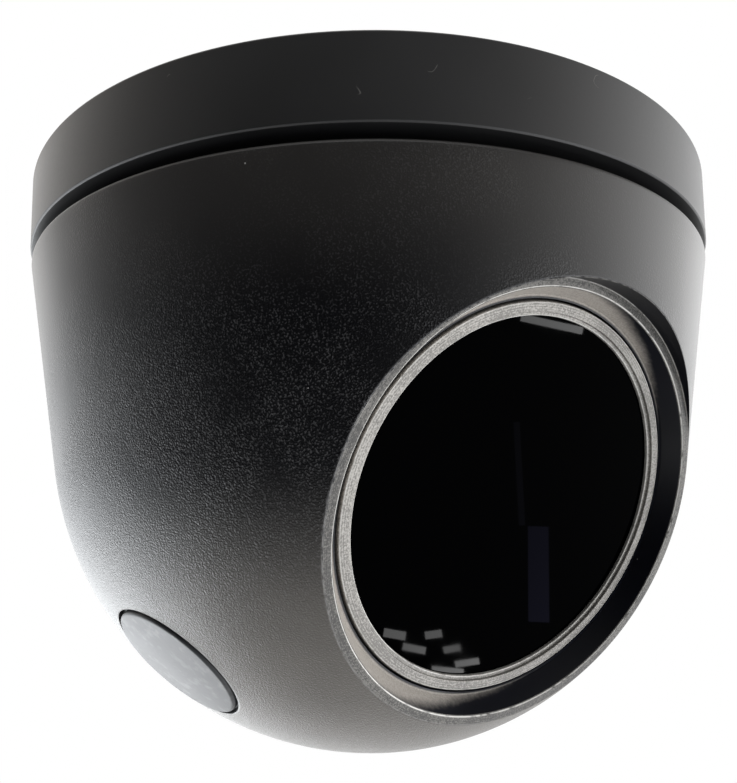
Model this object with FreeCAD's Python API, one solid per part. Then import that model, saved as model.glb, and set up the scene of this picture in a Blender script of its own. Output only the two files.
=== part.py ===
import FreeCAD, Part

import math
import os

from FreeCAD import Placement, Rotation, Vector

# A ceiling turret camera: a ring on the ceiling, and under it a turning dome with a tilted window.
# Millimetres. The origin is the centre of the ceiling face, +Z points up into the ceiling, and at rest
# the window looks along -Y and down.

# Base ring, the smooth band against the ceiling
base_radius = 60.0
ring_height = 11.5
ring_wall = 3.0
ring_draft = 0.6
ring_top_round = 0.4
ring_chamfer = 0.2
flange_thickness = 3.0

# Dome, a ball with a tangent cone above it
ball_radius = 54.5
ball_depth = 36.5
dome_wall = 2.6
rim_step = 0.2
rim_round = 1.0
groove_gap = 1.5

# Turning joint between the base ring and the dome
neck_inset = 10.05
neck_wall = 4.5
pan_clearance = 0.05
glide_thickness = 0.6
glide_gap = 0.05
glide_width = 1.6
pan_ring_thickness = 2.5
pan_ring_overlap = 2.4
pan_tab_reach = 3.4
pan_tab_width = 3.8
pan_seal_section = 1.8
pan_seal_inset = 6.0
pan_seal_clearance = 0.3
pan_screw_count = 6

# Mounting plate and what it carries
plate_thickness = 2.5
bayonet_depth = 2.6
bayonet_gap = 0.4
bayonet_angle = 24.0
bayonet_count = 3
skirt_drop = 3.0
skirt_wall = 1.4
tab_height = 2.0
lug_height = 2.4
seat_gap = 0.05
ceiling_hole_radius = 2.3
ceiling_hole_count = 3
ceiling_pitch_radius = 38.0
ceiling_sink_radius = 4.4
ceiling_sink_depth = 1.2
box_slot_angle = 22.0
box_slot_radius = 2.1
plate_rib_count = 6
plate_rib_width = 1.6
plate_rib_height = 2.0
stop_peg_radius = 1.6
stop_peg_drop = 5.0
gasket_width = 5.4
gasket_depth = 1.0
gasket_inset = 2.8
gasket_clearance = 0.3
cable_hole_radius = 11.0
cable_radius = 3.3
grommet_flange = 1.5
grommet_flange_height = 0.8
grommet_nose = 4.0
lock_screw_radius = 1.5
lock_screw_recess = 0.4

# Window, bezel and collar, along the window's own axis
window_tilt = 22.5
window_opening = 25.6
bezel_width = 2.15
bezel_rise = 0.9
bezel_step_width = 0.5
bezel_step_rise = 0.45
bezel_round = 0.6
bezel_skirt_wall = 0.65
bezel_gap = 0.12
ledge_rise = 0.6
ledge_width = 0.5
bore_flare = 1.63
lip_width = 1.245
lip_chamfer = 0.25
recess_depth = 3.6
window_thickness = 2.4
window_gap = 0.1
window_gasket_thickness = 0.6
shelf_width = 3.2
shelf_thickness = 2.4
counterbore_gap = 0.1
counterbore_draft = 2.0
counterbore_reach = 25.0

# Service plug, low on the dome's side
plug_azimuth = -76.0
plug_drop = 44.0
plug_radius = 10.2
plug_gap = 0.35
plug_thickness = 1.7
plug_rise = 0.8
plug_round = 0.6
plug_stem_radius = 7.8
plug_stem_length = 3.4
plug_stem_gap = 0.1
plug_boss_wall = 2.4
plug_boss_depth = 4.4
plug_seal_section = 1.2

# Lens module, from the front to the back
lens_stand_off = 3.6
lens_radius = 5.6
lens_edge = 1.5
lens_bulge = 1.0
barrel_radius = 6.0
barrel_head_radius = 7.5
barrel_head_length = 6.2
barrel_length = 13.5
barrel_gap = 0.03
barrel_recess = 1.2
barrel_edge = 0.5
barrel_flare = 0.4
holder_wall = 2.0
holder_height = 8.6
holder_foot = 16.4
holder_foot_height = 2.4
holder_screw_gap = 0.2
sensor_room = 1.0
led_board_thickness = 1.6
led_board_inset = 0.4
led_screw_count = 3
led_screw_grip = 5.0
led_hole_gap = 0.7
led_count = 6
led_pitch_radius = 14.4
led_size = 3.6
led_height = 1.0
led_lens_radius = 1.4
led_lens_height = 0.9
lamp_post_radius = 2.2
lamp_post_inset = 1.6
baffle_wall = 1.9
baffle_height = 4.2
baffle_edge = 0.5
baffle_gap = 0.3
module_radius = 20.0
module_wall = 1.5
module_depth = 16.0
module_back = 2.0
module_flange_width = 1.6
module_flange_thickness = 1.5
pivot_back = 8.0
roll_clearance = 0.05
roll_gap = 0.1
roll_range = 90.0
roll_nub_angle = 6.0
roll_clip_width = 2.2
roll_clip_thickness = 1.0
roll_groove = 0.8
roll_clip_mouth = 50.0
sensor_board_gap = 1.8
sensor_board_thickness = 1.4
sensor_post_height = 3.0
sensor_post_radius = 1.9
sensor_post_inset = 2.3
sensor_length = 9.0
sensor_width = 7.0
sensor_height = 1.0
sink_radius = 14.5
sink_base = 2.0
sink_fin_height = 5.0
sink_fin_thickness = 1.2
sink_fin_pitch = 3.4
sink_fins_a_side = 2
sink_screw_offset = 11.2

# Cradle and chassis
cradle_length = 10.0
cradle_wall = 2.6
trunnion_radius = 4.5
trunnion_reach = 2.3
washer_thickness = 0.4
washer_gap = 0.05
sheet = 1.2
ear_width = 16.0
pivot_clearance = 0.05
pivot_grip = 3.6
chassis_drop = 5.8
chassis_gap = 0.8
chassis_notch_gap = 1.0
chassis_notch_width = 32.0
chassis_window_radius = 12.0
chassis_window_place = 13.0
chassis_screw_length = 8.0
pillar_inset = 5.45
pillar_radius = 3.0
pillar_rib = 1.6

# Main board
board_radius = 36.5
board_thickness = 1.6
board_lift = 4.0
board_post_radius = 2.4
board_post_span = (42.0, 30.0)

# Parts on the main board: x from and to, y from and to, height
processor_box = (-7.0, 7.0, -12.0, 2.0, 1.4)
memory_box = (-6.0, 6.0, 5.0, 13.0, 1.1)
coil_box = (-26.0, -19.0, -4.0, 3.0, 3.2)
cable_socket_box = (-11.0, 11.0, 20.0, 27.0, 4.4)
cable_socket_wall = 1.0
capacitor_places = ((22.0, -5.0), (22.0, 3.0))
capacitor_radius = 3.0
capacitor_height = 4.2

# Screws
small_shank = 1.0
small_head = 1.9
small_head_height = 1.2
screw_shank = 1.25
screw_head = 2.3
screw_head_height = 1.5
pivot_shank = 1.5
pivot_head = 2.9
pivot_head_height = 1.9
thread_gap = 0.03
screw_end_gap = 0.5
socket_share = 0.5
socket_floor_share = 0.4
flat_socket_share = 0.8
head_edge_share = 0.25

# How far a cutting or joining shape runs past what it meets
spare = 1.0

# Heights that follow
flange_top = flange_thickness - ring_height
rim_height = -ring_height - groove_gap
shoulder_height = rim_height - dome_wall
ball_centre = Vector(0, 0, -ball_depth)
glide_low = flange_top + glide_gap
neck_top = glide_low + glide_thickness + glide_gap
pan_ring_top = neck_top + pan_ring_thickness
skirt_low = -plate_thickness - skirt_drop
chassis_low = shoulder_height - chassis_drop + sheet
chassis_high = chassis_low + sheet
board_low = chassis_high + board_lift

# Radii that follow
rim_radius = base_radius - rim_step
neck_outer = base_radius - neck_inset
neck_inner = neck_outer - neck_wall
neck_middle = (neck_inner + neck_outer) / 2
flange_bore = neck_outer + pan_clearance
ring_inner = base_radius - ring_wall
pan_ring_outer = neck_outer + pan_ring_overlap
skirt_outer = ring_inner - bayonet_depth
skirt_inner = skirt_outer - skirt_wall
pan_seal_radius = rim_radius - pan_seal_inset
stop_peg_place = neck_inner - pan_tab_reach + stop_peg_radius
pillar_place = neck_inner - pillar_inset
chassis_radius = neck_inner - chassis_gap

# The cone leaves the rim and touches the ball, so its angle follows from the two
rim_rise = rim_height + ball_depth
taper = math.acos(ball_radius / math.hypot(rim_radius, rim_rise)) - math.atan2(rim_rise, rim_radius)

# Distances from the ball's centre along the window's axis
bezel_outer = window_opening + bezel_width
seat_bore = bezel_outer + bezel_gap
bore_mouth = seat_bore + bore_flare
lip_outer = bore_mouth + lip_width
lip_plane = math.sqrt(ball_radius**2 - lip_outer**2)
window_face = lip_plane - recess_depth
window_back = window_face - window_thickness
shelf_face = window_back - window_gasket_thickness
shelf_back = shelf_face - shelf_thickness
shelf_hole = seat_bore - shelf_width
window_radius = bezel_outer - bezel_skirt_wall - window_gap
lens_front = window_back - lens_stand_off
baffle_front = lens_front
led_board_front = baffle_front - baffle_height
module_front = led_board_front - led_board_thickness
module_rear = module_front - module_depth
pivot_place = module_front - pivot_back
cradle_front = pivot_place + cradle_length / 2
cradle_rear = pivot_place - cradle_length / 2
sensor_board_back = module_rear + module_back + sensor_post_height
sensor_board_front = sensor_board_back + sensor_board_thickness
sensor_board_side = math.sqrt(2) * (module_radius - module_wall - sensor_board_gap)
sensor_post_place = sensor_board_side / 2 - sensor_post_inset
led_screw_place = module_radius - module_wall - lamp_post_inset
cradle_inner = module_radius + roll_clearance
cradle_outer = cradle_inner + cradle_wall
trunnion_face = cradle_outer + trunnion_reach
ear_inner = trunnion_face + washer_thickness + 2 * washer_gap
ear_outer = ear_inner + sheet


def disc(radius, low, high, x=0.0, y=0.0):
    """A round bar along Z."""
    return Part.makeCylinder(radius, high - low, Vector(x, y, low))


def ring(inner, outer, low, high):
    """A plain ring about Z."""
    return disc(outer, low, high).cut(disc(inner, low - spare, high + spare))


def block(x_low, x_high, y_low, y_high, low, high):
    """A box between two corners."""
    return Part.makeBox(x_high - x_low, y_high - y_low, high - low, Vector(x_low, y_low, low))


def turned(*points):
    """A solid turned about Z from (radius, height) corners."""
    corners = [Vector(radius, 0, height) for radius, height in points]
    face = Part.Face(Part.makePolygon(corners + corners[:1]))
    return face.revolve(Vector(0, 0, 0), Vector(0, 0, 1), 360)


def turn(shape, degrees, axis=Vector(0, 0, 1), centre=Vector(0, 0, 0)):
    """A copy turned about an axis."""
    copy = shape.copy()
    copy.rotate(centre, axis, degrees)
    return copy


def move(shape, x=0.0, y=0.0, z=0.0):
    """A copy moved along the axes."""
    copy = shape.copy()
    copy.translate(Vector(x, y, z))
    return copy


def around(shape, count, first=0.0):
    """Copies of a shape evenly spaced about Z."""
    return [turn(shape, first + 360.0 * index / count) for index in range(count)]


def sector(inner, outer, low, high, middle, width):
    """A stretch of a ring, centred on one angle."""
    wedge = Part.makeCylinder(outer, high - low, Vector(0, 0, low), Vector(0, 0, 1), width)
    return turn(wedge.cut(disc(inner, low - spare, high + spare)), middle - width / 2)


def arc_slot(radius, pitch_radius, low, high, middle, width):
    """A curved slot with round ends."""
    slot = sector(pitch_radius - radius, pitch_radius + radius, low, high, middle, width)
    ends = [turn(disc(radius, low, high, pitch_radius), middle + side * width / 2) for side in (-1, 1)]
    return slot.fuse(ends)


def join(first, *others):
    """One solid from touching ones, without seams."""
    return first.fuse(list(others)).removeSplitter()


def group(shapes):
    """Separate solids kept together."""
    return Part.makeCompound(shapes)


def round_circle(shape, amount, radius, height):
    """Rounds the circular edge of a given radius and height."""
    edges = [
        edge
        for edge in shape.Edges
        if not edge.Degenerated
        and edge.Curve.TypeId == "Part::GeomCircle"
        and abs(edge.Curve.Radius - radius) < 0.001
        and abs(edge.Curve.Center.z - height) < 0.001
    ]
    return shape.makeFillet(amount, edges)


def pan_head_screw(shank, head, head_height, length):
    """A screw whose head sits on z = 0 and whose shank hangs below, with a hexagon socket."""
    socket = hexagon(head * socket_share, head_height * socket_floor_share, head_height + spare)
    edge = head_height * head_edge_share
    body = turned(
        (0, head_height),
        (head - edge, head_height),
        (head, head_height - edge),
        (head, 0),
        (shank, 0),
        (shank, -length),
        (0, -length),
    )
    return body.cut(socket)


def flat_head_screw(shank, head, length):
    """A countersunk screw whose head is flush with z = 0, with a hexagon socket."""
    head_height = head - shank
    body = turned((0, 0), (head, 0), (shank, -head_height), (shank, -length), (0, -length))
    return body.cut(hexagon(head * socket_share, -head_height * flat_socket_share, spare))


def flat_head_hole(shank, head, length):
    """What a countersunk screw needs cut away."""
    wide = head + thread_gap
    narrow = shank + thread_gap
    head_low = narrow - wide
    return turned((0, spare), (wide, spare), (wide, 0), (narrow, head_low), (narrow, -length), (0, -length))


def hexagon(radius, low, high):
    """A six-sided bar along Z."""
    corners = [
        Vector(radius * math.cos(math.radians(60 * index)), radius * math.sin(math.radians(60 * index)), low)
        for index in range(7)
    ]
    return Part.Face(Part.makePolygon(corners)).extrude(Vector(0, 0, high - low))


def along_window(shape):
    """Puts a shape made along +Z from the ball's centre onto the window's axis."""
    copy = shape.copy()
    lie_down = Rotation(Vector(1, 0, 0), 90 + window_tilt)
    copy.Placement = Placement(ball_centre, lie_down).multiply(copy.Placement)
    return copy


def along_plug(shape):
    """Puts a shape made along +Z from the ball's centre onto the service plug's axis."""
    side = math.radians(plug_azimuth)
    drop = math.radians(plug_drop)
    axis = Vector(math.sin(side) * math.cos(drop), -math.cos(side) * math.cos(drop), -math.sin(drop))
    copy = shape.copy()
    copy.Placement = Placement(ball_centre, Rotation(Vector(0, 0, 1), axis)).multiply(copy.Placement)
    return copy


def skin(radius, top):
    """The solid inside a ball of this radius and its tangent cone, cut level at the top."""
    touch_radius = radius * math.cos(taper)
    touch_height = -ball_depth - radius * math.sin(taper)
    top_radius = touch_radius + (top - touch_height) * math.tan(taper)
    halfway = (taper + math.pi / 2) / 2
    middle = Vector(radius * math.cos(halfway), 0, -ball_depth - radius * math.sin(halfway))
    touch = Vector(touch_radius, 0, touch_height)
    pole = Vector(0, 0, -ball_depth - radius)
    upper = Part.makePolygon([pole, Vector(0, 0, top), Vector(top_radius, 0, top), touch])
    lower = Part.Arc(touch, middle, pole).toShape()
    face = Part.Face(Part.Wire(upper.Edges + [lower]))
    return face.revolve(Vector(0, 0, 0), Vector(0, 0, 1), 360)


def pillar_places():
    """Where the chassis stands on the dome's pillars."""
    return [(pillar_place, 0.0), (0.0, pillar_place), (-pillar_place, 0.0)]


def board_post_places():
    """Where the main board stands on its posts."""
    x, y = board_post_span[0] / 2, board_post_span[1] / 2
    return [(-x, -y), (-x, y), (x, -y), (x, y)]


def sensor_post_places():
    """Where the sensor board stands in the can."""
    places = (-sensor_post_place, sensor_post_place)
    return [(x, y) for x in places for y in places]


def led_screw_places():
    """Where the lamp board is screwed to the can."""
    angles = [math.radians(90 + 360 * index / led_screw_count) for index in range(led_screw_count)]
    return [(led_screw_place * math.cos(angle), led_screw_place * math.sin(angle)) for angle in angles]


def base_ring():
    """The moulded ring: a side wall, a flange that carries the dome, and bayonet lugs inside."""
    body = turned(
        (ring_inner, 0),
        (base_radius + ring_draft, 0),
        (base_radius, ring_chamfer - ring_height),
        (base_radius - ring_chamfer, -ring_height),
        (flange_bore, -ring_height),
        (flange_bore, flange_top),
        (ring_inner, flange_top),
    )
    body = round_circle(body, ring_top_round, base_radius + ring_draft, 0)
    lug_low = skirt_low + tab_height + seat_gap
    lug_inner = skirt_outer + bayonet_gap
    lug = sector(lug_inner, ring_inner + spare, lug_low, lug_low + lug_height, 90, bayonet_angle)
    hole = disc(lock_screw_radius + thread_gap, ring_inner - spare, base_radius + spare)
    hole = turn(hole, -90, Vector(1, 0, 0))
    hole.translate(Vector(0, 0, skirt_low + tab_height / 2))
    return join(body, *around(lug, bayonet_count)).cut(hole)


def lock_screw():
    """Grub screw through the ring's wall, against a tab of the mounting plate."""
    inner_end = ring_inner - bayonet_gap + seat_gap
    outer_end = base_radius - lock_screw_recess
    body = disc(lock_screw_radius, inner_end, outer_end)
    socket = hexagon(lock_screw_radius * socket_share, outer_end - lock_screw_radius, outer_end + spare)
    return move(turn(body.cut(socket), -90, Vector(1, 0, 0)), z=skirt_low + tab_height / 2)


def mounting_plate():
    """The plate on the ceiling: screw holes, slots, ribs, bayonet tabs and the pan stop's peg."""
    body = turned(
        (0, 0),
        (skirt_outer, 0),
        (skirt_outer, skirt_low),
        (skirt_inner, skirt_low),
        (skirt_inner, -plate_thickness),
        (0, -plate_thickness),
    )
    tab_outer = ring_inner - bayonet_gap
    tab = sector(skirt_outer - spare, tab_outer, skirt_low, skirt_low + tab_height, 90, bayonet_angle)
    rib = block(
        cable_hole_radius + grommet_flange * 2,
        skirt_inner - gasket_width,
        -plate_rib_width / 2,
        plate_rib_width / 2,
        -plate_thickness - plate_rib_height,
        -plate_thickness,
    )
    peg = disc(stop_peg_radius, -plate_thickness - stop_peg_drop, -plate_thickness, 0, stop_peg_place)
    body = join(body, peg, *around(tab, bayonet_count), *around(rib, plate_rib_count))
    hole = turned(
        (0, spare),
        (ceiling_hole_radius, spare),
        (ceiling_hole_radius, ceiling_sink_depth - plate_thickness),
        (ceiling_sink_radius, -plate_thickness),
        (ceiling_sink_radius, -plate_thickness - spare),
        (0, -plate_thickness - spare),
    )
    holes = around(move(hole, ceiling_pitch_radius), ceiling_hole_count, 30)
    below = -plate_thickness - spare
    slot = arc_slot(box_slot_radius, ceiling_pitch_radius, below, spare, 90, box_slot_angle)
    gasket_outer = skirt_outer - gasket_inset
    seat = ring(gasket_outer - gasket_width, gasket_outer, -gasket_depth, spare)
    entry = disc(cable_hole_radius, -plate_thickness - spare, spare)
    rebate = disc(cable_hole_radius + grommet_flange, -grommet_flange_height, spare)
    return body.cut([*holes, *around(slot, ceiling_hole_count), seat, entry, rebate])


def ceiling_gasket():
    """Foam ring in the plate's top face."""
    outer = skirt_outer - gasket_inset - gasket_clearance
    inner = skirt_outer - gasket_inset - gasket_width + gasket_clearance
    return ring(inner, outer, -gasket_depth, 0)


def cable_grommet():
    """Rubber grommet with a flange above and below the plate and a tapered nose."""
    flange = cable_hole_radius + grommet_flange - gasket_clearance
    hole_fit = cable_hole_radius - seat_gap
    lower = -plate_thickness - grommet_flange_height
    return turned(
        (cable_radius, 0),
        (flange, 0),
        (flange, -grommet_flange_height),
        (hole_fit, -grommet_flange_height),
        (hole_fit, -plate_thickness),
        (flange, -plate_thickness),
        (flange, lower),
        (cable_radius + grommet_flange, lower - grommet_nose),
        (cable_radius, lower - grommet_nose),
    )


def glide_ring():
    """Slippery ring on the flange, which carries the dome's weight."""
    inner = flange_bore + pan_clearance
    return ring(inner, inner + glide_width, glide_low, glide_low + glide_thickness)


def pan_ring():
    """Ring on the dome's neck that hangs the dome on the flange, with the tab that meets the stop."""
    body = ring(neck_inner, pan_ring_outer, neck_top, pan_ring_top)
    tab = block(
        -pan_tab_width / 2,
        pan_tab_width / 2,
        -neck_inner - spare,
        -neck_inner + pan_tab_reach,
        neck_top,
        pan_ring_top,
    )
    hole = flat_head_hole(screw_shank, screw_head, pan_ring_thickness + spare)
    hole = move(hole, neck_middle, 0, pan_ring_top)
    body = join(body, tab.common(disc(neck_middle, neck_top, pan_ring_top)))
    return body.cut(around(hole, pan_screw_count))


def pan_ring_screws():
    """Countersunk screws round the pan ring."""
    screw = flat_head_screw(screw_shank, screw_head, pan_ring_thickness + flange_thickness)
    return group(around(move(screw, neck_middle, 0, pan_ring_top), pan_screw_count))


def pan_seal():
    """Moulded seal in the dome's shoulder, with a narrow lip up towards the flange."""
    half = pan_seal_section / 2
    top = -ring_height - pan_seal_clearance
    low = top - pan_seal_section
    return turned(
        (pan_seal_radius - half, low),
        (pan_seal_radius + half, low),
        (pan_seal_radius + half, low + half),
        (pan_seal_radius + half / 2, top),
        (pan_seal_radius - half / 2, top),
        (pan_seal_radius - half, low + half),
    )


def pan_seal_groove():
    """Groove for the seal, as deep as the seal reaches below the shoulder's top."""
    floor = -ring_height - pan_seal_clearance - pan_seal_section
    half = pan_seal_section / 2 + seat_gap
    return ring(pan_seal_radius - half, pan_seal_radius + half, floor, rim_height + spare)


def window_bore():
    """All that the window's collar has cut away, from its shelf out past the lip."""
    beyond = lip_plane + counterbore_reach
    return turned(
        (0, shelf_back - spare),
        (shelf_hole, shelf_back - spare),
        (shelf_hole, shelf_face),
        (seat_bore, shelf_face),
        (seat_bore, window_face + ledge_rise),
        (seat_bore + ledge_width, window_face + ledge_rise),
        (bore_mouth, lip_plane - lip_chamfer),
        (bore_mouth + lip_chamfer, lip_plane),
        (bore_mouth + lip_chamfer, beyond),
        (0, beyond),
    )


def lip_clearance():
    """The counterbore outside the lip's plane, which leaves the flat lip and the wall above it."""
    start = lip_outer + counterbore_gap
    spread = counterbore_reach * math.tan(math.radians(counterbore_draft))
    return turned(
        (0, lip_plane),
        (start, lip_plane),
        (start + spread, lip_plane + counterbore_reach),
        (0, lip_plane + counterbore_reach),
    )


def plug_plane():
    """Distance from the ball's centre to the circle where the plug's recess meets the ball."""
    return math.sqrt(ball_radius**2 - (plug_radius + plug_gap) ** 2)


def plug_recess():
    """The recess for the plug's head and the hole for its stem."""
    floor = plug_plane() + plug_rise - plug_thickness
    head = disc(plug_radius + plug_gap, floor, ball_radius + spare)
    stem = disc(plug_stem_radius + plug_stem_gap, floor - plug_boss_depth - spare, ball_radius + spare)
    return along_plug(head.fuse(stem))


def dome_shell():
    """One moulding: the tapered dome, its shoulder and neck, the collar and lip, pillars and plug boss."""
    outer = skin(ball_radius, rim_height)
    outer = round_circle(outer, rim_round, rim_radius, rim_height)
    inner = skin(ball_radius - dome_wall, shoulder_height)
    neck = ring(neck_inner, neck_outer, shoulder_height, neck_top)
    shell = outer.cut([inner, disc(neck_inner, shoulder_height - spare, rim_height + spare)])

    collar = along_window(disc(seat_bore + dome_wall, shelf_back, lip_plane))
    surround_radius = lip_outer + counterbore_gap + dome_wall
    surround = along_window(disc(surround_radius, lip_plane - dome_wall, lip_plane + counterbore_reach))
    plug_floor = plug_plane() + plug_rise - plug_thickness
    boss_radius = plug_radius + plug_gap + plug_boss_wall
    boss = along_plug(disc(boss_radius, plug_floor - plug_boss_depth, plug_plane() - spare))
    lowest = -ball_depth - ball_radius
    rib_top = chassis_low - 2 * pillar_radius
    pillars = []
    for x, y in pillar_places():
        pillars.append(disc(pillar_radius, lowest, chassis_low, x, y))
        rib = block(pillar_place, base_radius, -pillar_rib / 2, pillar_rib / 2, lowest, rib_top)
        pillars.append(turn(rib, math.degrees(math.atan2(y, x))))
    core = skin(ball_radius - dome_wall / 2, rim_height - dome_wall / 2)
    inside = collar.fuse([surround, boss, *pillars]).common(core)

    pilot = screw_shank + thread_gap
    pilot_end = chassis_low - chassis_screw_length
    pilots = [disc(pilot, pilot_end, chassis_low + spare, x, y) for x, y in pillar_places()]
    pan_pilot = disc(pilot, neck_top - flange_thickness - screw_end_gap, neck_top + spare, neck_middle)
    cuts = [
        along_window(window_bore()),
        along_window(lip_clearance()),
        plug_recess(),
        pan_seal_groove(),
        *pilots,
        *around(pan_pilot, pan_screw_count),
    ]
    return join(shell, neck, inside).cut(cuts)


def window():
    """Flat dark disc."""
    body = disc(window_radius, window_back, window_face)
    return along_window(body)


def window_gasket():
    """Flat rubber ring between the window and its shelf."""
    return along_window(ring(shelf_hole + window_gap, window_radius, shelf_face, window_back))


def window_bezel():
    """Turned ring over the window's edge, with a skirt round the window."""
    skirt_inside = bezel_outer - bezel_skirt_wall
    top = window_face + bezel_rise
    body = turned(
        (window_opening, window_face),
        (window_opening, window_face + bezel_step_rise),
        (window_opening + bezel_step_width, window_face + bezel_step_rise),
        (window_opening + bezel_step_width, top),
        (bezel_outer, top),
        (bezel_outer, shelf_face),
        (skirt_inside, shelf_face),
        (skirt_inside, window_face),
    )
    return along_window(round_circle(body, bezel_round, bezel_outer, top))


def plug_seal_place():
    """Radius and distance of the seal's centre line, just inside the stem's hole."""
    radius = plug_stem_radius + plug_stem_gap - seat_gap - plug_seal_section / 2
    return radius, plug_plane() + plug_rise - plug_thickness - plug_stem_length / 2


def service_plug():
    """Round plug: a head that stands a little proud of the dome and a stem with a groove for its seal."""
    top = plug_plane() + plug_rise
    floor = top - plug_thickness
    head = round_circle(disc(plug_radius, floor, top), plug_round, plug_radius, top)
    stem = disc(plug_stem_radius, floor - plug_stem_length, floor)
    seal_radius, middle = plug_seal_place()
    half = plug_seal_section / 2 + seat_gap
    groove = ring(seal_radius - half, plug_stem_radius + spare, middle - half, middle + half)
    hollow = disc(seal_radius - half - plug_thickness, floor - plug_stem_length - spare, floor - seat_gap)
    return along_plug(join(head, stem).cut([groove, hollow]))


def plug_seal():
    """Square-section seal in the plug's groove."""
    radius, middle = plug_seal_place()
    half = plug_seal_section / 2
    return along_plug(ring(radius - half, radius + half, middle - half, middle + half))


def pivot_point():
    """Where the tilt axis crosses the window's axis."""
    tilt = math.radians(window_tilt)
    return ball_centre + Vector(0, -math.cos(tilt), -math.sin(tilt)) * pivot_place


def swing_at_chassis():
    """How far round its pivot the swinging cradle comes up through the chassis, with room to spare."""
    swing = math.hypot(cradle_outer, cradle_length / 2) + chassis_notch_gap
    height = chassis_low - pivot_point().z
    return math.sqrt(max(swing**2 - height**2, 0))


def chassis():
    """Folded sheet: a plate with a notch for the module and two ears that carry the cradle."""
    pivot = pivot_point()
    plate = disc(chassis_radius, chassis_low, chassis_high)
    notch_side = max(chassis_notch_width / 2, swing_at_chassis())
    ear_back = pivot.y + ear_width / 2
    notch_back = max(ear_back, pivot.y + swing_at_chassis())
    ear_front = pivot.y - ear_width / 2
    below = chassis_low - spare
    above = chassis_high + spare
    plate = plate.cut(block(-notch_side, notch_side, -base_radius, notch_back, below, above))
    plate = plate.cut(disc(chassis_window_radius, below, above, 0, chassis_window_place))
    for side in (-1, 1):
        beyond = sorted((side * ear_outer, side * base_radius))
        slit = sorted((side * (ear_inner - sheet / 2), side * base_radius))
        plate = plate.cut(block(*beyond, ear_front, ear_back + sheet, below, above))
        plate = plate.cut(block(*slit, ear_back, ear_back + sheet, below, above))
    plate = plate.cut(block(-base_radius, base_radius, -base_radius, ear_front, below, above))
    ears = []
    for side in (-1, 1):
        low_x, high_x = sorted((side * ear_inner, side * ear_outer))
        ears.append(block(low_x, high_x, ear_front, ear_back, pivot.z, chassis_high))
        tip = turn(disc(ear_width / 2, low_x, high_x), 90, Vector(0, 1, 0))
        tip.translate(Vector(0, pivot.y, pivot.z))
        ears.append(tip)
    body = join(plate, *ears)
    body = body.makeFillet(sheet, outer_fold_edges(body))
    holes = [disc(screw_shank + pivot_clearance, below, above, x, y) for x, y in pillar_places()]
    holes += [disc(small_shank + thread_gap, below, above, x, y) for x, y in board_post_places()]
    pivot_hole = turn(disc(pivot_shank + pivot_clearance, -base_radius, base_radius), 90, Vector(0, 1, 0))
    pivot_hole.translate(Vector(0, pivot.y, pivot.z))
    return body.cut([*holes, pivot_hole])


def outer_fold_edges(body):
    """The two long outer edges where the ears fold down from the plate."""
    return [
        edge
        for edge in body.Edges
        if not edge.Degenerated
        and edge.Curve.TypeId == "Part::GeomLine"
        and abs(edge.CenterOfMass.z - chassis_high) < 0.001
        and abs(abs(edge.CenterOfMass.x) - ear_outer) < 0.001
        and abs(edge.Length - ear_width) < 0.001
    ]


def chassis_screws():
    """Screws through the chassis into the dome's pillars."""
    screw = pan_head_screw(screw_shank, screw_head, screw_head_height, chassis_screw_length)
    return group([move(screw, x, y, chassis_high) for x, y in pillar_places()])


def main_board():
    """Round board above the chassis."""
    high = board_low + board_thickness
    body = disc(board_radius, board_low, high)
    bore = small_shank + pivot_clearance
    holes = [disc(bore, board_low - spare, high + spare, x, y) for x, y in board_post_places()]
    return body.cut(holes)


def board_posts():
    """Posts between the chassis and the main board."""
    post = ring(small_shank + thread_gap, board_post_radius, chassis_high, board_low)
    return group([move(post, x, y) for x, y in board_post_places()])


def board_screws():
    """Screws through the main board into its posts."""
    length = board_thickness + board_lift - screw_end_gap
    screw = pan_head_screw(small_shank, small_head, small_head_height, length)
    return group([move(screw, x, y, board_low + board_thickness) for x, y in board_post_places()])


def board_parts():
    """Processor, memory, capacitors, coil and the cable's socket, soldered to the board's top."""
    low = board_low + board_thickness
    parts = []
    for x_low, x_high, y_low, y_high, height in (processor_box, memory_box, coil_box, cable_socket_box):
        parts.append(block(x_low, x_high, y_low, y_high, low, low + height))
    x_low, x_high, y_low, y_high, height = cable_socket_box
    wall = cable_socket_wall
    well = block(x_low + wall, x_high - wall, y_low + wall, y_high - wall, low + wall, low + height + spare)
    parts[-1] = parts[-1].cut(well)
    capacitors = [disc(capacitor_radius, low, low + capacitor_height, x, y) for x, y in capacitor_places]
    return group([*parts, *capacitors])


def tilt_cradle():
    """Round frame round the module, with a boss on each side for the pivot screws."""
    body = ring(cradle_inner, cradle_outer, cradle_rear, cradle_front)
    bosses = []
    for side in (-1, 1):
        low, high = sorted((side * (cradle_inner + cradle_wall / 2), side * trunnion_face))
        boss = turn(disc(trunnion_radius, low, high), 90, Vector(0, 1, 0))
        bosses.append(move(boss, z=pivot_place))
    nub = sector(
        module_radius + 2 * roll_clearance,
        cradle_inner + module_flange_width - roll_gap,
        cradle_front - spare,
        cradle_front + module_flange_thickness,
        90,
        roll_nub_angle,
    )
    nub = nub.cut(disc(cradle_inner, cradle_rear, cradle_front))
    body = join(body, nub, *bosses)
    pilot = turn(disc(pivot_shank + thread_gap, -base_radius, base_radius), 90, Vector(0, 1, 0))
    pilot = move(pilot, z=pivot_place).cut(disc(trunnion_face - pivot_grip, cradle_rear, cradle_front))
    return along_window(body.cut(pilot))


def pivot_screws():
    """Shouldered screws through the ears into the cradle's bosses."""
    length = pivot_grip - thread_gap + ear_outer - trunnion_face + washer_gap
    screw = pan_head_screw(pivot_shank, pivot_head, pivot_head_height, length)
    screws = []
    for side in (-1, 1):
        turned_screw = turn(screw, side * 90, Vector(0, 1, 0))
        screws.append(move(turned_screw, side * (ear_outer + washer_gap), 0, pivot_place))
    return along_window(group(screws))


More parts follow.
